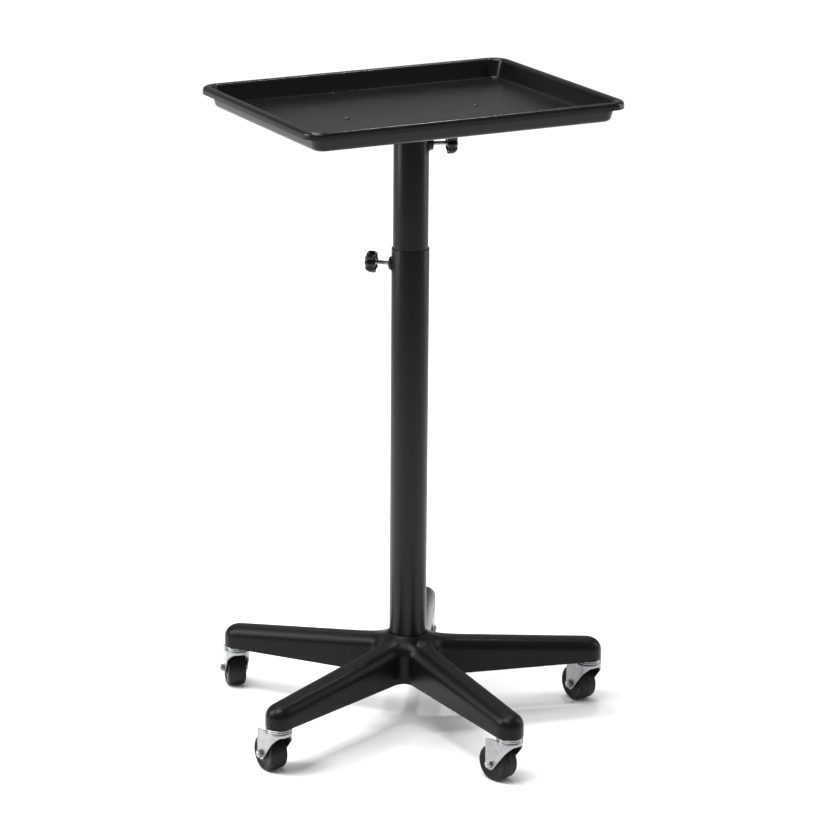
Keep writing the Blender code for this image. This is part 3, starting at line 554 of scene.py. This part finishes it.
def boss_mesh(radius, place):
    """A boss along Z whose foot is cut to sit on a tube of this radius."""
    blank = turned([(BOSS_R, 0.8 * radius), (BOSS_R, BOSS_FACE - BOSS_EDGE),
                    (BOSS_R - 0.3 * BOSS_EDGE, BOSS_FACE - 0.3 * BOSS_EDGE), (BOSS_R - BOSS_EDGE, BOSS_FACE),
                    (SCREW_R + TUBE_GAP + BORE_CHAMFER, BOSS_FACE),
                    (SCREW_R + TUBE_GAP, BOSS_FACE - BORE_CHAMFER), (SCREW_R + TUBE_GAP, 0.8 * radius)], 64)
    saddle = plug_cutter(radius + TUBE_GAP, -2 * BOSS_R, 2 * BOSS_R,
                         Matrix.Rotation(math.pi / 2, 4, "Y"), TUBE_STEPS)
    made = worked(blank, [saddle])
    made.transform(place)
    return made


def weld_bead(radius, place):
    """The rippled bead where the boss meets the tube."""
    bm = bmesh.new()
    ring_r = BOSS_R + 0.0002
    rings = []
    for i in range(WELD_STEPS):
        t = math.tau * i / WELD_STEPS
        y = ring_r * math.cos(t)
        spine = Vector((ring_r * math.sin(t), y, math.sqrt(radius * radius - y * y)))
        out = Vector((math.sin(t), math.cos(t), 0.0))
        up = Vector((0.0, y, spine.z)).normalized()
        unevenness = 0.16 * noise.noise(Vector((4 * out.x, 4 * out.y, radius * 90)))
        thick = WELD_R * (1 + 0.10 * math.sin(WELD_RIPPLES * t) + unevenness)
        ring = []
        for k in range(BEAD_STEPS):
            a = math.tau * k / BEAD_STEPS
            ring.append(bm.verts.new(spine + thick * (math.cos(a) * out + math.sin(a) * up)))
        rings.append(ring)
    for near, far in zip(rings, rings[1:] + rings[:1]):
        for k in range(BEAD_STEPS):
            bm.faces.new((near[k], near[(k + 1) % BEAD_STEPS], far[(k + 1) % BEAD_STEPS], far[k]))
    made = closed_mesh(bm)
    made.transform(place)
    return made


def knob_mesh(place):
    """The lobed knob, hollow on the side that faces the tube, with a rib to each lobe."""
    low, high = knob_face, knob_face + KNOB_HEIGHT
    bore = SCREW_R + TUBE_GAP
    bore_end = low + SCREW_IN_KNOB + TUBE_GAP
    steps = KNOB_LOBES * STEPS_PER_LOBE
    hollow = low + KNOB_HOLLOW
    round_rings = [(0.0, bore_end), (bore, bore_end), (bore, low + 0.0004), (bore + 0.0004, low),
                   (KNOB_HUB_R - 0.0005, low), (KNOB_HUB_R, low + 0.0005), (KNOB_HUB_R + 0.0003, hollow)]
    lobed_rings = [(KNOB_RIM + 0.0006, hollow, 0.5), (KNOB_RIM, low + 0.0010, 0.7),
                   (KNOB_RIM - 0.0006, low + 0.0002, 0.8), (KNOB_RIM - 0.0012, low, 0.9),
                   (0.0012, low, 1.0), (0.0004, low + 0.0004, 1.0), (0.0, low + 0.0014, 1.0),
                   (0.0, low + KNOB_STRAIGHT, 1.0)]
    dome = KNOB_HEIGHT - KNOB_STRAIGHT
    for k in range(1, 10):
        a = math.radians(10 * k)
        shrink = (1 - KNOB_CROWN) * (1 - math.cos(a))
        lobed_rings.append((KNOB_R * shrink, low + KNOB_STRAIGHT + dome * math.sin(a), 1 - shrink))
    lobed_rings.append((0.75 * KNOB_R, high - 0.0006, 0.1))
    bm = bmesh.new()
    rings = []
    for r, z in round_rings:
        turns = [math.tau * k / steps for k in range(steps if r > 0 else 1)]
        rings.append([bm.verts.new((r * math.cos(a), r * math.sin(a), z)) for a in turns])
    for inset, z, lobed in lobed_rings:
        ring = []
        for a in turns:
            r = KNOB_R - KNOB_LOBE - inset + lobed * KNOB_LOBE * math.cos(KNOB_LOBES * a)
            ring.append(bm.verts.new((r * math.cos(a), r * math.sin(a), z)))
        rings.append(ring)
    rings.append([bm.verts.new((0.0, 0.0, high - 0.0005))])
    bridge(bm, zip(rings, rings[1:]), steps)
    ribs = []
    reach = KNOB_R - KNOB_RIM - KNOB_HUB_R + 0.0004
    rise = KNOB_HOLLOW - 0.0008
    for k in range(KNOB_LOBES):
        turn = Matrix.Rotation(math.tau * (k + 0.5) / KNOB_LOBES, 3, "Z")
        rib = bmesh.new()
        bmesh.ops.create_cube(rib, size=1.0)
        bmesh.ops.scale(rib, vec=(reach, KNOB_RIB, rise), verts=rib.verts)
        bmesh.ops.translate(rib, vec=(KNOB_HUB_R - 0.0012 + reach / 2, 0, low + 0.0016 + rise / 2),
                            verts=rib.verts)
        bmesh.ops.rotate(rib, cent=(0, 0, 0), matrix=turn, verts=rib.verts)
        ribs.append(closed_mesh(rib))
    made = worked(closed_mesh(bm), ribs, "UNION")
    made.transform(place)
    return made


knob_plastic = surface("black_knob_plastic", ((0.0050, 0.0050, 0.0052), (0.0072, 0.0072, 0.0075)),
                       (0.26, 0.36), 0.0010, 0.000030, specular=0.32)


def show_clamp(label, place, radius, tip, body, screw_body, knob_body):
    """A clamp's boss with its weld, its screw and its knob."""
    show(f"{label}_boss_coated", boss_mesh(radius, place), body, "powder_coat", powder_coat, f"{label}_boss")
    show(f"{label}_boss_weld", weld_bead(radius, place), body, "powder_coat", powder_coat)
    show(f"{label}_screw_threaded", threaded_rod(SCREW_R, SCREW_PITCH, tip, knob_face + SCREW_IN_KNOB, place),
         screw_body, "zinc_plate", bright_zinc, f"{label}_screw")
    show(f"{label}_knob_lobed", knob_mesh(place), knob_body, "knob_plastic", knob_plastic, f"{label}_knob")


upper_low, upper_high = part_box("upper_tube")
upper_r = (upper_high.x - upper_low.x) / 2
show_clamp("height", height_clamp, tube_r, upper_r + TUBE_GAP, "base",
           "height_clamp_screw", "height_clamp_knob")

# ---------------------------------------------------------------- upper tube
# A second powder-coated steel tube that slides in the lower one. A nylon glide is pushed into its
# foot and fills the gap, so that the two tubes don't rub. It carries the clamp for the tray's post
# just under its top end.
GLIDE_COLLAR = 0.008
GLIDE_SPIGOT = 0.016
GLIDE_WALL = 0.0028
tray_clamp = clamp_place("tray_lock_knob")
upper_tube = turned(tube_outline(upper_r, TUBE_WALL, upper_low.z, upper_high.z), TUBE_STEPS, at_column)
lock_hole = plug_cutter(SCREW_R + 2 * TUBE_GAP, 0.5 * upper_r, upper_r + SCREW_HOLE_PAST, tray_clamp)
show("upper_tube_coated", worked(upper_tube, [lock_hole]), "mast", "powder_coat", powder_coat, "upper_tube")
glide_nylon = surface("grey_nylon", ((0.14, 0.14, 0.145), (0.18, 0.18, 0.185)), (0.40, 0.50), 0.0012, 0.00003)
seat = upper_low.z - TUBE_GAP
spigot_r = upper_r - TUBE_WALL - TUBE_GAP
glide_bore = spigot_r - GLIDE_WALL
glide_top = seat + GLIDE_SPIGOT
glide_end = seat - GLIDE_COLLAR
glide = turned([(spigot_r - 0.0012, glide_top), (spigot_r - 0.0002, glide_top - 0.0016),
                (spigot_r, seat + 0.0004), (spigot_r, seat), (upper_r - 0.0004, seat),
                (upper_r, seat - 0.0004), (upper_r, glide_end + 0.0016),
                (upper_r - 0.0004, glide_end + 0.0005), (upper_r - 0.0014, glide_end),
                (glide_bore + 0.0004, glide_end), (glide_bore, glide_end + 0.0004),
                (glide_bore, glide_top - 0.0003), (glide_bore + 0.0003, glide_top)], 96, at_column)
show("upper_tube_glide_moulded", glide, "mast", "glide_plastic", glide_nylon, "upper_tube_glide")
post_r = upper_r - TUBE_WALL - TUBE_GAP
show_clamp("tray_lock", tray_clamp, upper_r, post_r + TUBE_GAP, "mast",
           "tray_clamp_screw", "tray_clamp_knob")

# ---------------------------------------------------------------- tray mount
# A steel post turns in the top of the upper tube. A flat steel bar is welded across it, and two
# machine screws with domed cross-recessed heads come down through the tray's floor and the bar,
# each held by a plated nut underneath.
POST_WALL = 0.002
BAR_CORNER_R = 0.008
BAR_EDGE = 0.0006
CAP_HEAD_R = 0.0044
CAP_HEAD_HEIGHT = 0.0024
CAP_SCREW_R = 0.0025
CAP_SCREW_PITCH = 0.0008
RECESS_HALF = 0.0019
RECESS_WIDTH = 0.0007
RECESS_DEPTH = 0.0012
RECESS_TURN = 0.5             # no screw stops with its recess square to the tray
SHANK_LENGTH = 0.004
SQUARE_SIGNS = ((1, 1), (-1, 1), (-1, -1), (1, -1))


def round_cornered(middle, half_x, half_y, corner_r, steps, z):
    """The points of a rectangle with round corners."""
    return [(middle.x + sx * (half_x - corner_r) + corner_r * math.cos(a),
             middle.y + sy * (half_y - corner_r) + corner_r * math.sin(a), z)
            for q, (sx, sy) in enumerate(SQUARE_SIGNS)
            for a in (math.pi / 2 * (q + k / steps) for k in range(steps + 1))]


def at_screw(x, z=0.0):
    """The place of a tray screw, or of what goes with it at height z."""
    return Matrix.Translation((x, column.y, z))


def domed_screw(x, low, high):
    """A machine screw: a domed head with a cross recess, and its thread below the bar."""
    dome = []
    for k in range(7):
        a = math.radians(90 - 14 * k)
        dome.append((CAP_HEAD_R * math.cos(a), high - CAP_HEAD_HEIGHT + CAP_HEAD_HEIGHT * math.sin(a)))
    under = high - CAP_HEAD_HEIGHT
    shank_r, shank_end = 0.9 * CAP_SCREW_R, under - SHANK_LENGTH
    shank = [(shank_r, under), (shank_r, shank_end), (0.0, shank_end)]
    head = turned([(0.0, high)] + dome[1:] + [(CAP_HEAD_R, under + 0.0002), (CAP_HEAD_R - 0.0002, under)]
                  + shank, 40, closed=False)
    arms = []
    for turn in (0.0, math.pi / 2):
        arm = bmesh.new()
        bmesh.ops.create_cube(arm, size=1.0)
        bmesh.ops.scale(arm, vec=(2 * RECESS_HALF, RECESS_WIDTH, 2 * RECESS_DEPTH), verts=arm.verts)
        bmesh.ops.rotate(arm, cent=(0, 0, 0), matrix=Matrix.Rotation(turn + RECESS_TURN, 3, "Z"),
                         verts=arm.verts)
        bmesh.ops.translate(arm, vec=(0, 0, high), verts=arm.verts)
        arms.append(closed_mesh(arm))
    head = worked(head, arms)
    thread = threaded_rod(CAP_SCREW_R, CAP_SCREW_PITCH, low, under - 0.0015, steps=24)
    made = worked(head, [thread], "UNION")
    made.transform(at_screw(x))
    return made


def nut_mesh(radius, height, bore, place):
    """A hexagon nut standing on z = 0 of its place."""
    made = worked(hex_blank(radius, 0.0, height), [plug_cutter(bore, -0.001, height + 0.001)])
    made.transform(place)
    return made


show("tray_post_drawn", column_ring("tray_post", post_r, POST_WALL, 96), "tray_top",
     "bare_steel", bare_steel, "tray_post")
bar_low, bar_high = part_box("tray_bar")
bar_half = (bar_high - bar_low) / 2
bar = drawn_out(round_cornered(Vector((0, 0)), bar_half.x, bar_half.y, BAR_CORNER_R, 10, bar_low.z),
                (0, 0, bar_high.z - bar_low.z))
bar.transform(at_column)
screw_x = {}
for label in ("left", "right"):
    low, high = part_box(f"tray_screw_{label}")
    screw_x[label] = (low.x + high.x) / 2
bar_holes = [plug_cutter(CAP_SCREW_R + TUBE_GAP, bar_low.z - CUT_PAST, bar_high.z + CUT_PAST, at_screw(x))
             for x in screw_x.values()]
show("tray_bar_coated", worked(bar, bar_holes, edge=BAR_EDGE), "tray_top",
     "powder_coat", powder_coat, "tray_bar")
for label, x in screw_x.items():
    low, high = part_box(f"tray_screw_{label}")
    show(f"tray_screw_{label}_domed", domed_screw(x, low.z, high.z), "tray_top",
         "black_screw", knob_plastic, f"tray_screw_{label}")
    low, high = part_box(f"tray_nut_{label}")
    nut = nut_mesh((high.x - low.x) / 2, high.z - low.z, CAP_SCREW_R + TUBE_GAP, at_screw(x, low.z))
    show(f"tray_nut_{label}_hex", nut, "tray_top", "zinc_plate", bright_zinc, f"tray_nut_{label}")

# ---------------------------------------------------------------- tray
# One sheet of black plastic, drawn down over a mould into a shallow tray. Its wide rim is crowned
# and turns down into a lip all round, which stiffens it. It carries a fine leather-like grain, and
# a shallow round seat is spot-faced in its floor under each screw's head.
TRAY_SHEET = 0.0025
TRAY_CORNER_R = 0.026
RIM_WIDTH = 0.0124
LIP = 0.0100
WALL_SLOPE = 0.0055
FLOOR_FILLET = 0.004
CORNER_STEPS = 14
FILLET_STEPS = 6
RIM_STEPS = 4
SEAT_MARGIN = 0.0008
SEAT_DEPTH = 0.0004
SEAT_CUT = 0.006
EDGE_WEAR = 0.0006
tray_low, tray_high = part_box("tray")
tray_half = (tray_high - tray_low) / 2
tray_mid = (tray_high + tray_low) / 2


def smooth_line(points, steps):
    """A smooth line through (inset, depth) points."""
    line = []
    for i in range(len(points) - 1):
        p = [Vector(points[max(0, min(len(points) - 1, i + n))]) for n in (-1, 0, 1, 2)]
        for k in range(steps):
            t = k / steps
            bend = 2 * p[0] - 5 * p[1] + 4 * p[2] - p[3]
            twist = 3 * p[1] - p[0] - 3 * p[2] + p[3]
            line.append(tuple(0.5 * (2 * p[1] + (p[2] - p[0]) * t + bend * t * t + twist * t * t * t)))
    line.append(tuple(points[-1]))
    return line


def under_line(line, thickness):
    """The line one thickness under another, without the points that a tight bend folds over."""
    points = [Vector(p) for p in line]
    under = []
    for i, p in enumerate(points):
        along = (points[min(i + 1, len(points) - 1)] - points[max(i - 1, 0)]).normalized()
        moved = p + thickness * Vector((along.y, -along.x))
        if min((moved - q).length for q in points) > 0.97 * thickness:
            under.append(tuple(moved))
    return under


def tray_mesh():
    """A closed section, from the floor out over the rim and back under it, swept round the tray."""
    depth = tray_high.z - tray_low.z
    floor = depth - TRAY_SHEET
    foot = RIM_WIDTH + WALL_SLOPE
    section = []
    for k in range(FILLET_STEPS + 1):
        a = math.radians(90 * k / FILLET_STEPS * 0.88)
        section.append((foot + FLOOR_FILLET * (1 - math.sin(a)), floor - FLOOR_FILLET * (1 - math.cos(a))))
    rim = smooth_line([(RIM_WIDTH + 0.0010, 0.0055), (RIM_WIDTH + 0.0005, 0.0030),
                       (RIM_WIDTH - 0.0012, 0.0009), (RIM_WIDTH - 0.0040, 0.0001), (0.0078, 0.0),
                       (0.0032, 0.0006), (0.0009, 0.0026), (0.0002, 0.0050), (0.0, LIP)], RIM_STEPS)
    section += [(max(0.0, inset), max(0.0, down)) for inset, down in rim]
    section += reversed(under_line(section, TRAY_SHEET))
    bm = bmesh.new()
    loops = []
    for inset, down in section:
        corner_r = max(TRAY_CORNER_R - 0.7 * inset, FLOOR_FILLET)
        points = round_cornered(tray_mid, tray_half.x - inset, tray_half.y - inset, corner_r,
                                CORNER_STEPS, tray_high.z - down)
        loops.append([bm.verts.new(point) for point in points])
    bm.faces.new(loops[0])
    bridge(bm, zip(loops, loops[1:]), len(loops[0]))
    bm.faces.new(loops[-1])
    seat_z = tray_low.z + TRAY_SHEET - SEAT_DEPTH
    seats = [plug_cutter(CAP_HEAD_R + SEAT_MARGIN, seat_z, seat_z + SEAT_CUT, at_screw(x), 64)
             for x in screw_x.values()]
    holes = [plug_cutter(CAP_SCREW_R + TUBE_GAP, tray_low.z - CUT_PAST, tray_high.z, at_screw(x))
             for x in screw_x.values()]
    return worked(worked(closed_mesh(bm), seats), holes, edge=EDGE_WEAR, segments=3, angle=60.0)


tray_plastic = surface("grained_tray_plastic", ((0.0046, 0.0046, 0.0048), (0.0066, 0.0066, 0.0069)),
                       (0.21, 0.29), 0.0011, 0.000050, worley=1.3, specular=0.23)
show("tray_drawn_sheet", tray_mesh(), "tray_top", "moulded_tray", tray_plastic, "tray")

# ---------------------------------------------------------------- casters
# Five bought-in swivel casters. The stem and a pressed race stay with the arm; under them a fork
# pressed from zinc-plated sheet turns on balls, and a solid black plastic wheel runs on a steel
# bush round an M6 axle bolt, locked with a nut on one side.
WHEEL_EDGE_R = 0.0035
WHEEL_WIDTH = 0.027
WHEEL_BOSS_R = 0.0085
WHEEL_BOSS_PROUD = 0.0008
TRAIL = 0.022
AXLE_R = 0.003
BUSH_WALL = 0.0011
FORK_SHEET = 0.0016
FORK_SIDE_GAP = 0.0006
CROWN_R = 0.0186
CROWN_SHEET = 0.0022
LEG_END_R = 0.0085
LEG_EDGE_TURN = 220.0
FORK_FRONT_SKIRT = 0.0022
FORK_KNEE = 0.0155
FORK_KNEE_SKIRT = 0.0034
RACE_HEIGHT = 0.0050
RIVET_R = 0.0082
RIVET_HEIGHT = 0.0024
AXLE_HEAD_R = 0.0052
AXLE_HEAD_HEIGHT = 0.0030
AXLE_NUT_R = 0.0056
AXLE_NUT_HEIGHT = 0.0042
AXLE_END = 0.0010
PUNCH_HALF = 0.03            # beyond the fork's sides
RACE_BEAD = 0.00115
DISH_DEPTH = 0.0014
wheel_low, wheel_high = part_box("caster_1_wheel")
race_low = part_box("caster_1_race")[0]
wheel_r = (wheel_high.z - wheel_low.z) / 2
crown_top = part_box("caster_1_fork")[1].z
crown_under = crown_top - CROWN_SHEET
leg_inner = WHEEL_WIDTH / 2 + WHEEL_BOSS_PROUD + FORK_SIDE_GAP
leg_outer = leg_inner + FORK_SHEET
bush_r = AXLE_R + TUBE_GAP + BUSH_WALL
across = Matrix.Translation((TRAIL, 0, wheel_r)) @ Matrix.Rotation(-math.pi / 2, 4, "X")


def fork_mesh():
    """The fork: a sheet bent round the front, cut to its side view, under a pressed round crown."""
    middle = (leg_inner + leg_outer) / 2
    front_r = CROWN_R - FORK_SHEET / 2 - 0.0004
    half = []
    for k in range(13):
        a = math.radians(180 - 5.6 * k)
        half.append((front_r * math.cos(a), front_r * math.sin(a)))
    crease = Vector((TRAIL - 1.6 * LEG_END_R, middle))
    before = Vector(half[-1])
    half.append(tuple(crease.lerp(before, 0.10)))
    half.append(tuple(crease + Vector((0.0009, 0.0))))
    half.append((TRAIL + LEG_END_R + 0.004, middle))
    path = [(x, -y) for x, y in reversed(half[1:])] + [(half[0][0], 0.0)] + half[1:]
    bm = bmesh.new()
    low = [bm.verts.new((x, y, wheel_r - 2 * LEG_END_R)) for x, y in path]
    high = [bm.verts.new((x, y, crown_top - 0.0004)) for x, y in path]
    for k in range(len(path) - 1):
        bm.faces.new((low[k], low[k + 1], high[k + 1], high[k]))
    mesh = bpy.data.meshes.new("fork_sheet")
    bm.to_mesh(mesh)
    bm.free()
    blank = linked("fork_sheet", mesh)
    sheet = blank.modifiers.new("sheet", "SOLIDIFY")
    sheet.thickness = FORK_SHEET
    sheet.offset = 0.0
    sheet.use_even_offset = True
    wall = applied(blank)
    side = [(TRAIL + LEG_END_R, crown_under - 0.0020), (TRAIL + LEG_END_R - 0.0012, crown_under - 0.0008),
            (CROWN_R - 0.002, crown_top - 0.0006), (-CROWN_R - 0.002, crown_top - 0.0006),
            (-CROWN_R - 0.002, crown_under - FORK_FRONT_SKIRT), (-FORK_KNEE, crown_under - FORK_KNEE_SKIRT)]
    for k in range(13):
        a = math.radians(LEG_EDGE_TURN + (360 - LEG_EDGE_TURN) * k / 12)
        side.append((TRAIL + LEG_END_R * math.cos(a), wheel_r + LEG_END_R * math.sin(a)))
    punched = drawn_out([(x, -PUNCH_HALF, z) for x, z in side], (0, 2 * PUNCH_HALF, 0))
    wall = worked(wall, [punched], "INTERSECT")
    crown = turned([(0.0, crown_top), (CROWN_R - 0.0016, crown_top), (CROWN_R - 0.0006, crown_top - 0.0004),
                    (CROWN_R, crown_top - 0.0013), (CROWN_R, crown_under + ROUND_EDGE),
                    (CROWN_R - ROUND_EDGE, crown_under), (0.0, crown_under)], 72, closed=False)
    fork = worked(wall, [crown], "UNION")
    holes = [plug_cutter(STEM_R + TUBE_GAP, crown_under - CUT_PAST, crown_top + CUT_PAST),
             plug_cutter(AXLE_R + TUBE_GAP, -PUNCH_HALF, PUNCH_HALF, across)]
    return worked(fork, holes, edge=0.00035, segments=2, angle=40.0)


def wheel_mesh():
    """The wheel: a crowned tread with round edges, a dished side and a boss for the bush."""
    half = WHEEL_WIDTH / 2
    side_r = wheel_r - WHEEL_EDGE_R
    edge = []
    for k in range(11):
        a = math.radians(90 - 9 * k)
        edge.append((side_r + WHEEL_EDGE_R * math.cos(a), half - WHEEL_EDGE_R + WHEEL_EDGE_R * math.sin(a)))
    edge[-1] = (wheel_r - 0.0001, edge[-1][1])
    dish = [(WHEEL_BOSS_R + 0.0003, half - 0.0009), (WHEEL_BOSS_R + 0.0012, half - DISH_DEPTH),
            (side_r - 0.0042, half - DISH_DEPTH), (side_r - 0.0030, half - 0.0006), (side_r - 0.0016, half)]
    boss = half + WHEEL_BOSS_PROUD
    bore = bush_r + TUBE_GAP
    side = [(bore, boss - 0.0004), (bore + 0.0004, boss), (WHEEL_BOSS_R - 0.0006, boss),
            (WHEEL_BOSS_R, boss - 0.0006)]
    upper = side + dish + edge + [(wheel_r - 0.0001, 0.0004), (wheel_r, 0.0001)]
    return turned(upper + [(r, -z) for r, z in reversed(upper)], 112)


def race_mesh():
    """The race: two rolled rims with a dark gap between them."""
    z, h, bead = race_low.z, RACE_HEIGHT, RACE_BEAD
    points = []
    for centre in (z + h - bead, z + bead):
        for k in range(9):
            a = math.radians(90 - 22.5 * k)
            points.append((CROWN_R - bead + bead * math.cos(a), centre + bead * math.sin(a)))
        if centre > z + 2 * bead:
            points += [(CROWN_R - 0.0032, centre - bead), (CROWN_R - 0.0032, z + 2 * bead)]
    inner = STEM_R + TUBE_GAP
    return turned(points + [(inner, z), (inner, z + h)], 96)


def stem_mesh():
    """The stem: a riveted head under the crown, the pin, and the grip ring's groove near its top."""
    head = crown_under - TUBE_GAP
    top = tip_under + STEM_LENGTH
    return turned([(0.0, top), (STEM_R - 0.0012, top), (STEM_R, top - 0.0012), (STEM_R, top - 0.0050),
                   (STEM_R - 0.0006, top - 0.0052), (STEM_R - 0.0006, top - 0.0074), (STEM_R, top - 0.0076),
                   (STEM_R, head), (RIVET_R, head), (RIVET_R, head - 0.4 * RIVET_HEIGHT),
                   (0.92 * RIVET_R, head - 0.68 * RIVET_HEIGHT), (0.7 * RIVET_R, head - RIVET_HEIGHT),
                   (0.0, head - RIVET_HEIGHT)], 48, closed=False)


def axle_bolt_mesh():
    """The axle bolt along its own Z: a domed head, a plain shank and its threaded end."""
    near = -leg_outer - TUBE_GAP
    far = leg_outer + 2 * TUBE_GAP + AXLE_NUT_HEIGHT + AXLE_END
    dome = [(AXLE_HEAD_R * math.cos(math.radians(12 * k)), near - 0.0008 - (AXLE_HEAD_HEIGHT - 0.0008)
             * math.sin(math.radians(12 * k))) for k in range(8)]
    shank = turned([(0.0, leg_outer), (AXLE_R, leg_outer), (AXLE_R, near), (AXLE_HEAD_R - 0.0002, near),
                    (AXLE_HEAD_R, near - 0.0002)] + dome + [(0.0, near - AXLE_HEAD_HEIGHT)], 40, closed=False)
    return worked(shank, [threaded_rod(AXLE_R, SCREW_PITCH, leg_outer - 0.002, far, steps=28)], "UNION")


fork_plate = surface("pressed_zinc_sheet", ((0.28, 0.285, 0.295), (0.43, 0.435, 0.44)),
                     (0.24, 0.38), 0.0016, 0.000030, metallic=1.0, blotch=0.010)
tread_plastic = surface("matt_wheel_plastic", ((0.0040, 0.0040, 0.0042), (0.0090, 0.0089, 0.0088)),
                        (0.42, 0.58), 0.0009, 0.000060, blotch=0.010, specular=0.22)
fork_pattern = fork_mesh()
wheel_pattern = wheel_mesh()
wheel_pattern.transform(across)
race_pattern = race_mesh()
stem_pattern = stem_mesh()
bolt_pattern = axle_bolt_mesh()
bolt_pattern.transform(across)
nut_pattern = nut_mesh(AXLE_NUT_R, AXLE_NUT_HEIGHT, AXLE_R + TUBE_GAP,
                       across @ Matrix.Translation((0, 0, leg_outer + TUBE_GAP)))
bush_half = leg_inner - TUBE_GAP
bush_pattern = plain_tube(bush_r, BUSH_WALL, -bush_half, bush_half, 40, 0.0002)
bush_pattern.transform(across)
for n in range(1, ARM_COUNT + 1):
    low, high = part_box(f"caster_{n}_race")
    stem_at = (low + high) / 2
    low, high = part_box(f"caster_{n}_wheel")
    axle_at = (low + high) / 2
    trailing = math.atan2(axle_at.y - stem_at.y, axle_at.x - stem_at.x)
    standing = Matrix.Translation((stem_at.x, stem_at.y, 0.0)) @ Matrix.Rotation(trailing, 4, "Z")
    for pattern, part, body, slot, finish in (
            (stem_pattern, "stem", "base", "zinc_plate", bright_zinc),
            (race_pattern, "race", "base", "zinc_plate", bright_zinc),
            (fork_pattern, "fork", f"fork_{n}", "zinc_plate", fork_plate),
            (bush_pattern, "bush", f"fork_{n}", "zinc_plate", bright_zinc),
            (bolt_pattern, "axle_bolt", f"fork_{n}", "zinc_plate", bright_zinc),
            (nut_pattern, "axle_nut", f"fork_{n}", "zinc_plate", bright_zinc),
            (wheel_pattern, "wheel", f"wheel_{n}", "wheel", tread_plastic)):
        mesh = pattern.copy()
        mesh.transform(standing)
        show(f"caster_{n}_{part}_made", mesh, body, slot, finish, f"caster_{n}_{part}")

# ---------------------------------------------------------------- studio
# A plain pale floor, an even sky and soft lights: a tall box to the left, a narrow one to the
# right, two small ones high up behind, and a broad light from above.
FLOOR_HALF = 40.0
FLOOR_TONE = 0.92
SKY = 0.30
SUN = 2.9
AIM_HEIGHT = 0.5
HEADING = math.radians(62.617)
bm = bmesh.new()
bmesh.ops.create_grid(bm, x_segments=8, y_segments=8, size=FLOOR_HALF)
floor_sheet = linked("floor_sheet", closed_mesh(bm, "floor_sheet"))
floor_sheet.data.materials.append(surface("pale_floor", ((FLOOR_TONE,) * 3, (FLOOR_TONE + 0.03,) * 3),
                                          (0.75, 0.85), 0.01, 0.00002, blotch=1.5, specular=0.2))
world = bpy.data.worlds.new("studio_sky")
world.use_nodes = True
sky_inputs = world.node_tree.nodes["Background"].inputs
sky_inputs["Color"].default_value = (1.0, 1.0, 1.0, 1.0)
sky_inputs["Strength"].default_value = SKY
bpy.context.scene.world = world
forward = Vector((math.cos(HEADING), math.sin(HEADING), 0.0))
right = Vector((math.sin(HEADING), -math.cos(HEADING), 0.0))


def soft_box(name, along, sideways, height, size, power):
    """A rectangular studio light, placed from the column, that faces its middle."""
    light = bpy.data.lights.new(name, "AREA")
    light.shape = "RECTANGLE"
    light.size, light.size_y = size
    light.energy = power
    lamp = linked(name, light)
    lamp.location = column + along * forward + sideways * right + Vector((0, 0, height))
    aim = column + Vector((0, 0, AIM_HEIGHT)) - lamp.location
    lamp.rotation_euler = aim.to_track_quat("-Z", "Y").to_euler()


soft_box("left_box", -0.2, -2.0, 1.5, (1.0, 1.4), 40.0)
soft_box("right_box", 0.6, 2.2, 1.3, (0.5, 1.6), 12.0)
for side in (-1, 1):
    soft_box("back_box", 1.1, side * 0.45, 2.6, (0.22, 0.22), 14.0)
sun = bpy.data.lights.new("top_light", "SUN")
sun.energy = SUN
sun.angle = math.radians(35)
sun_way = 0.25 * right + 0.15 * forward - Vector((0, 0, 1))
linked("top_light", sun).rotation_euler = sun_way.to_track_quat("-Z", "Y").to_euler()
bpy.context.scene.view_settings.view_transform = "Standard"

# ---------------------------------------------------------------- camera
# A long lens from in front and to the left, looking slightly down on the tray.
PITCH = math.radians(17.599)
ROLL = math.radians(0.356)
FOCAL_LENGTH = 139.1
LENS_SHIFT = (0.0308, 0.0163)
CAMERA_FROM_COLUMN = Vector((-2.01657, -3.84743, 1.80688))
ahead = Vector((math.cos(HEADING) * math.cos(PITCH), math.sin(HEADING) * math.cos(PITCH), -math.sin(PITCH)))
above = right.cross(ahead)
rolled_right = math.cos(ROLL) * right + math.sin(ROLL) * above
rolled_up = -math.sin(ROLL) * right + math.cos(ROLL) * above
lens = bpy.data.cameras.new("camera")
lens.lens = FOCAL_LENGTH
lens.sensor_width = 36.0
lens.shift_x, lens.shift_y = LENS_SHIFT
lens.clip_end = 200.0
camera = linked("camera", lens)
turned_to = Matrix((rolled_right, rolled_up, -ahead)).transposed().to_4x4()
camera.matrix_world = Matrix.Translation(column + CAMERA_FROM_COLUMN) @ turned_to
bpy.context.scene.camera = camera
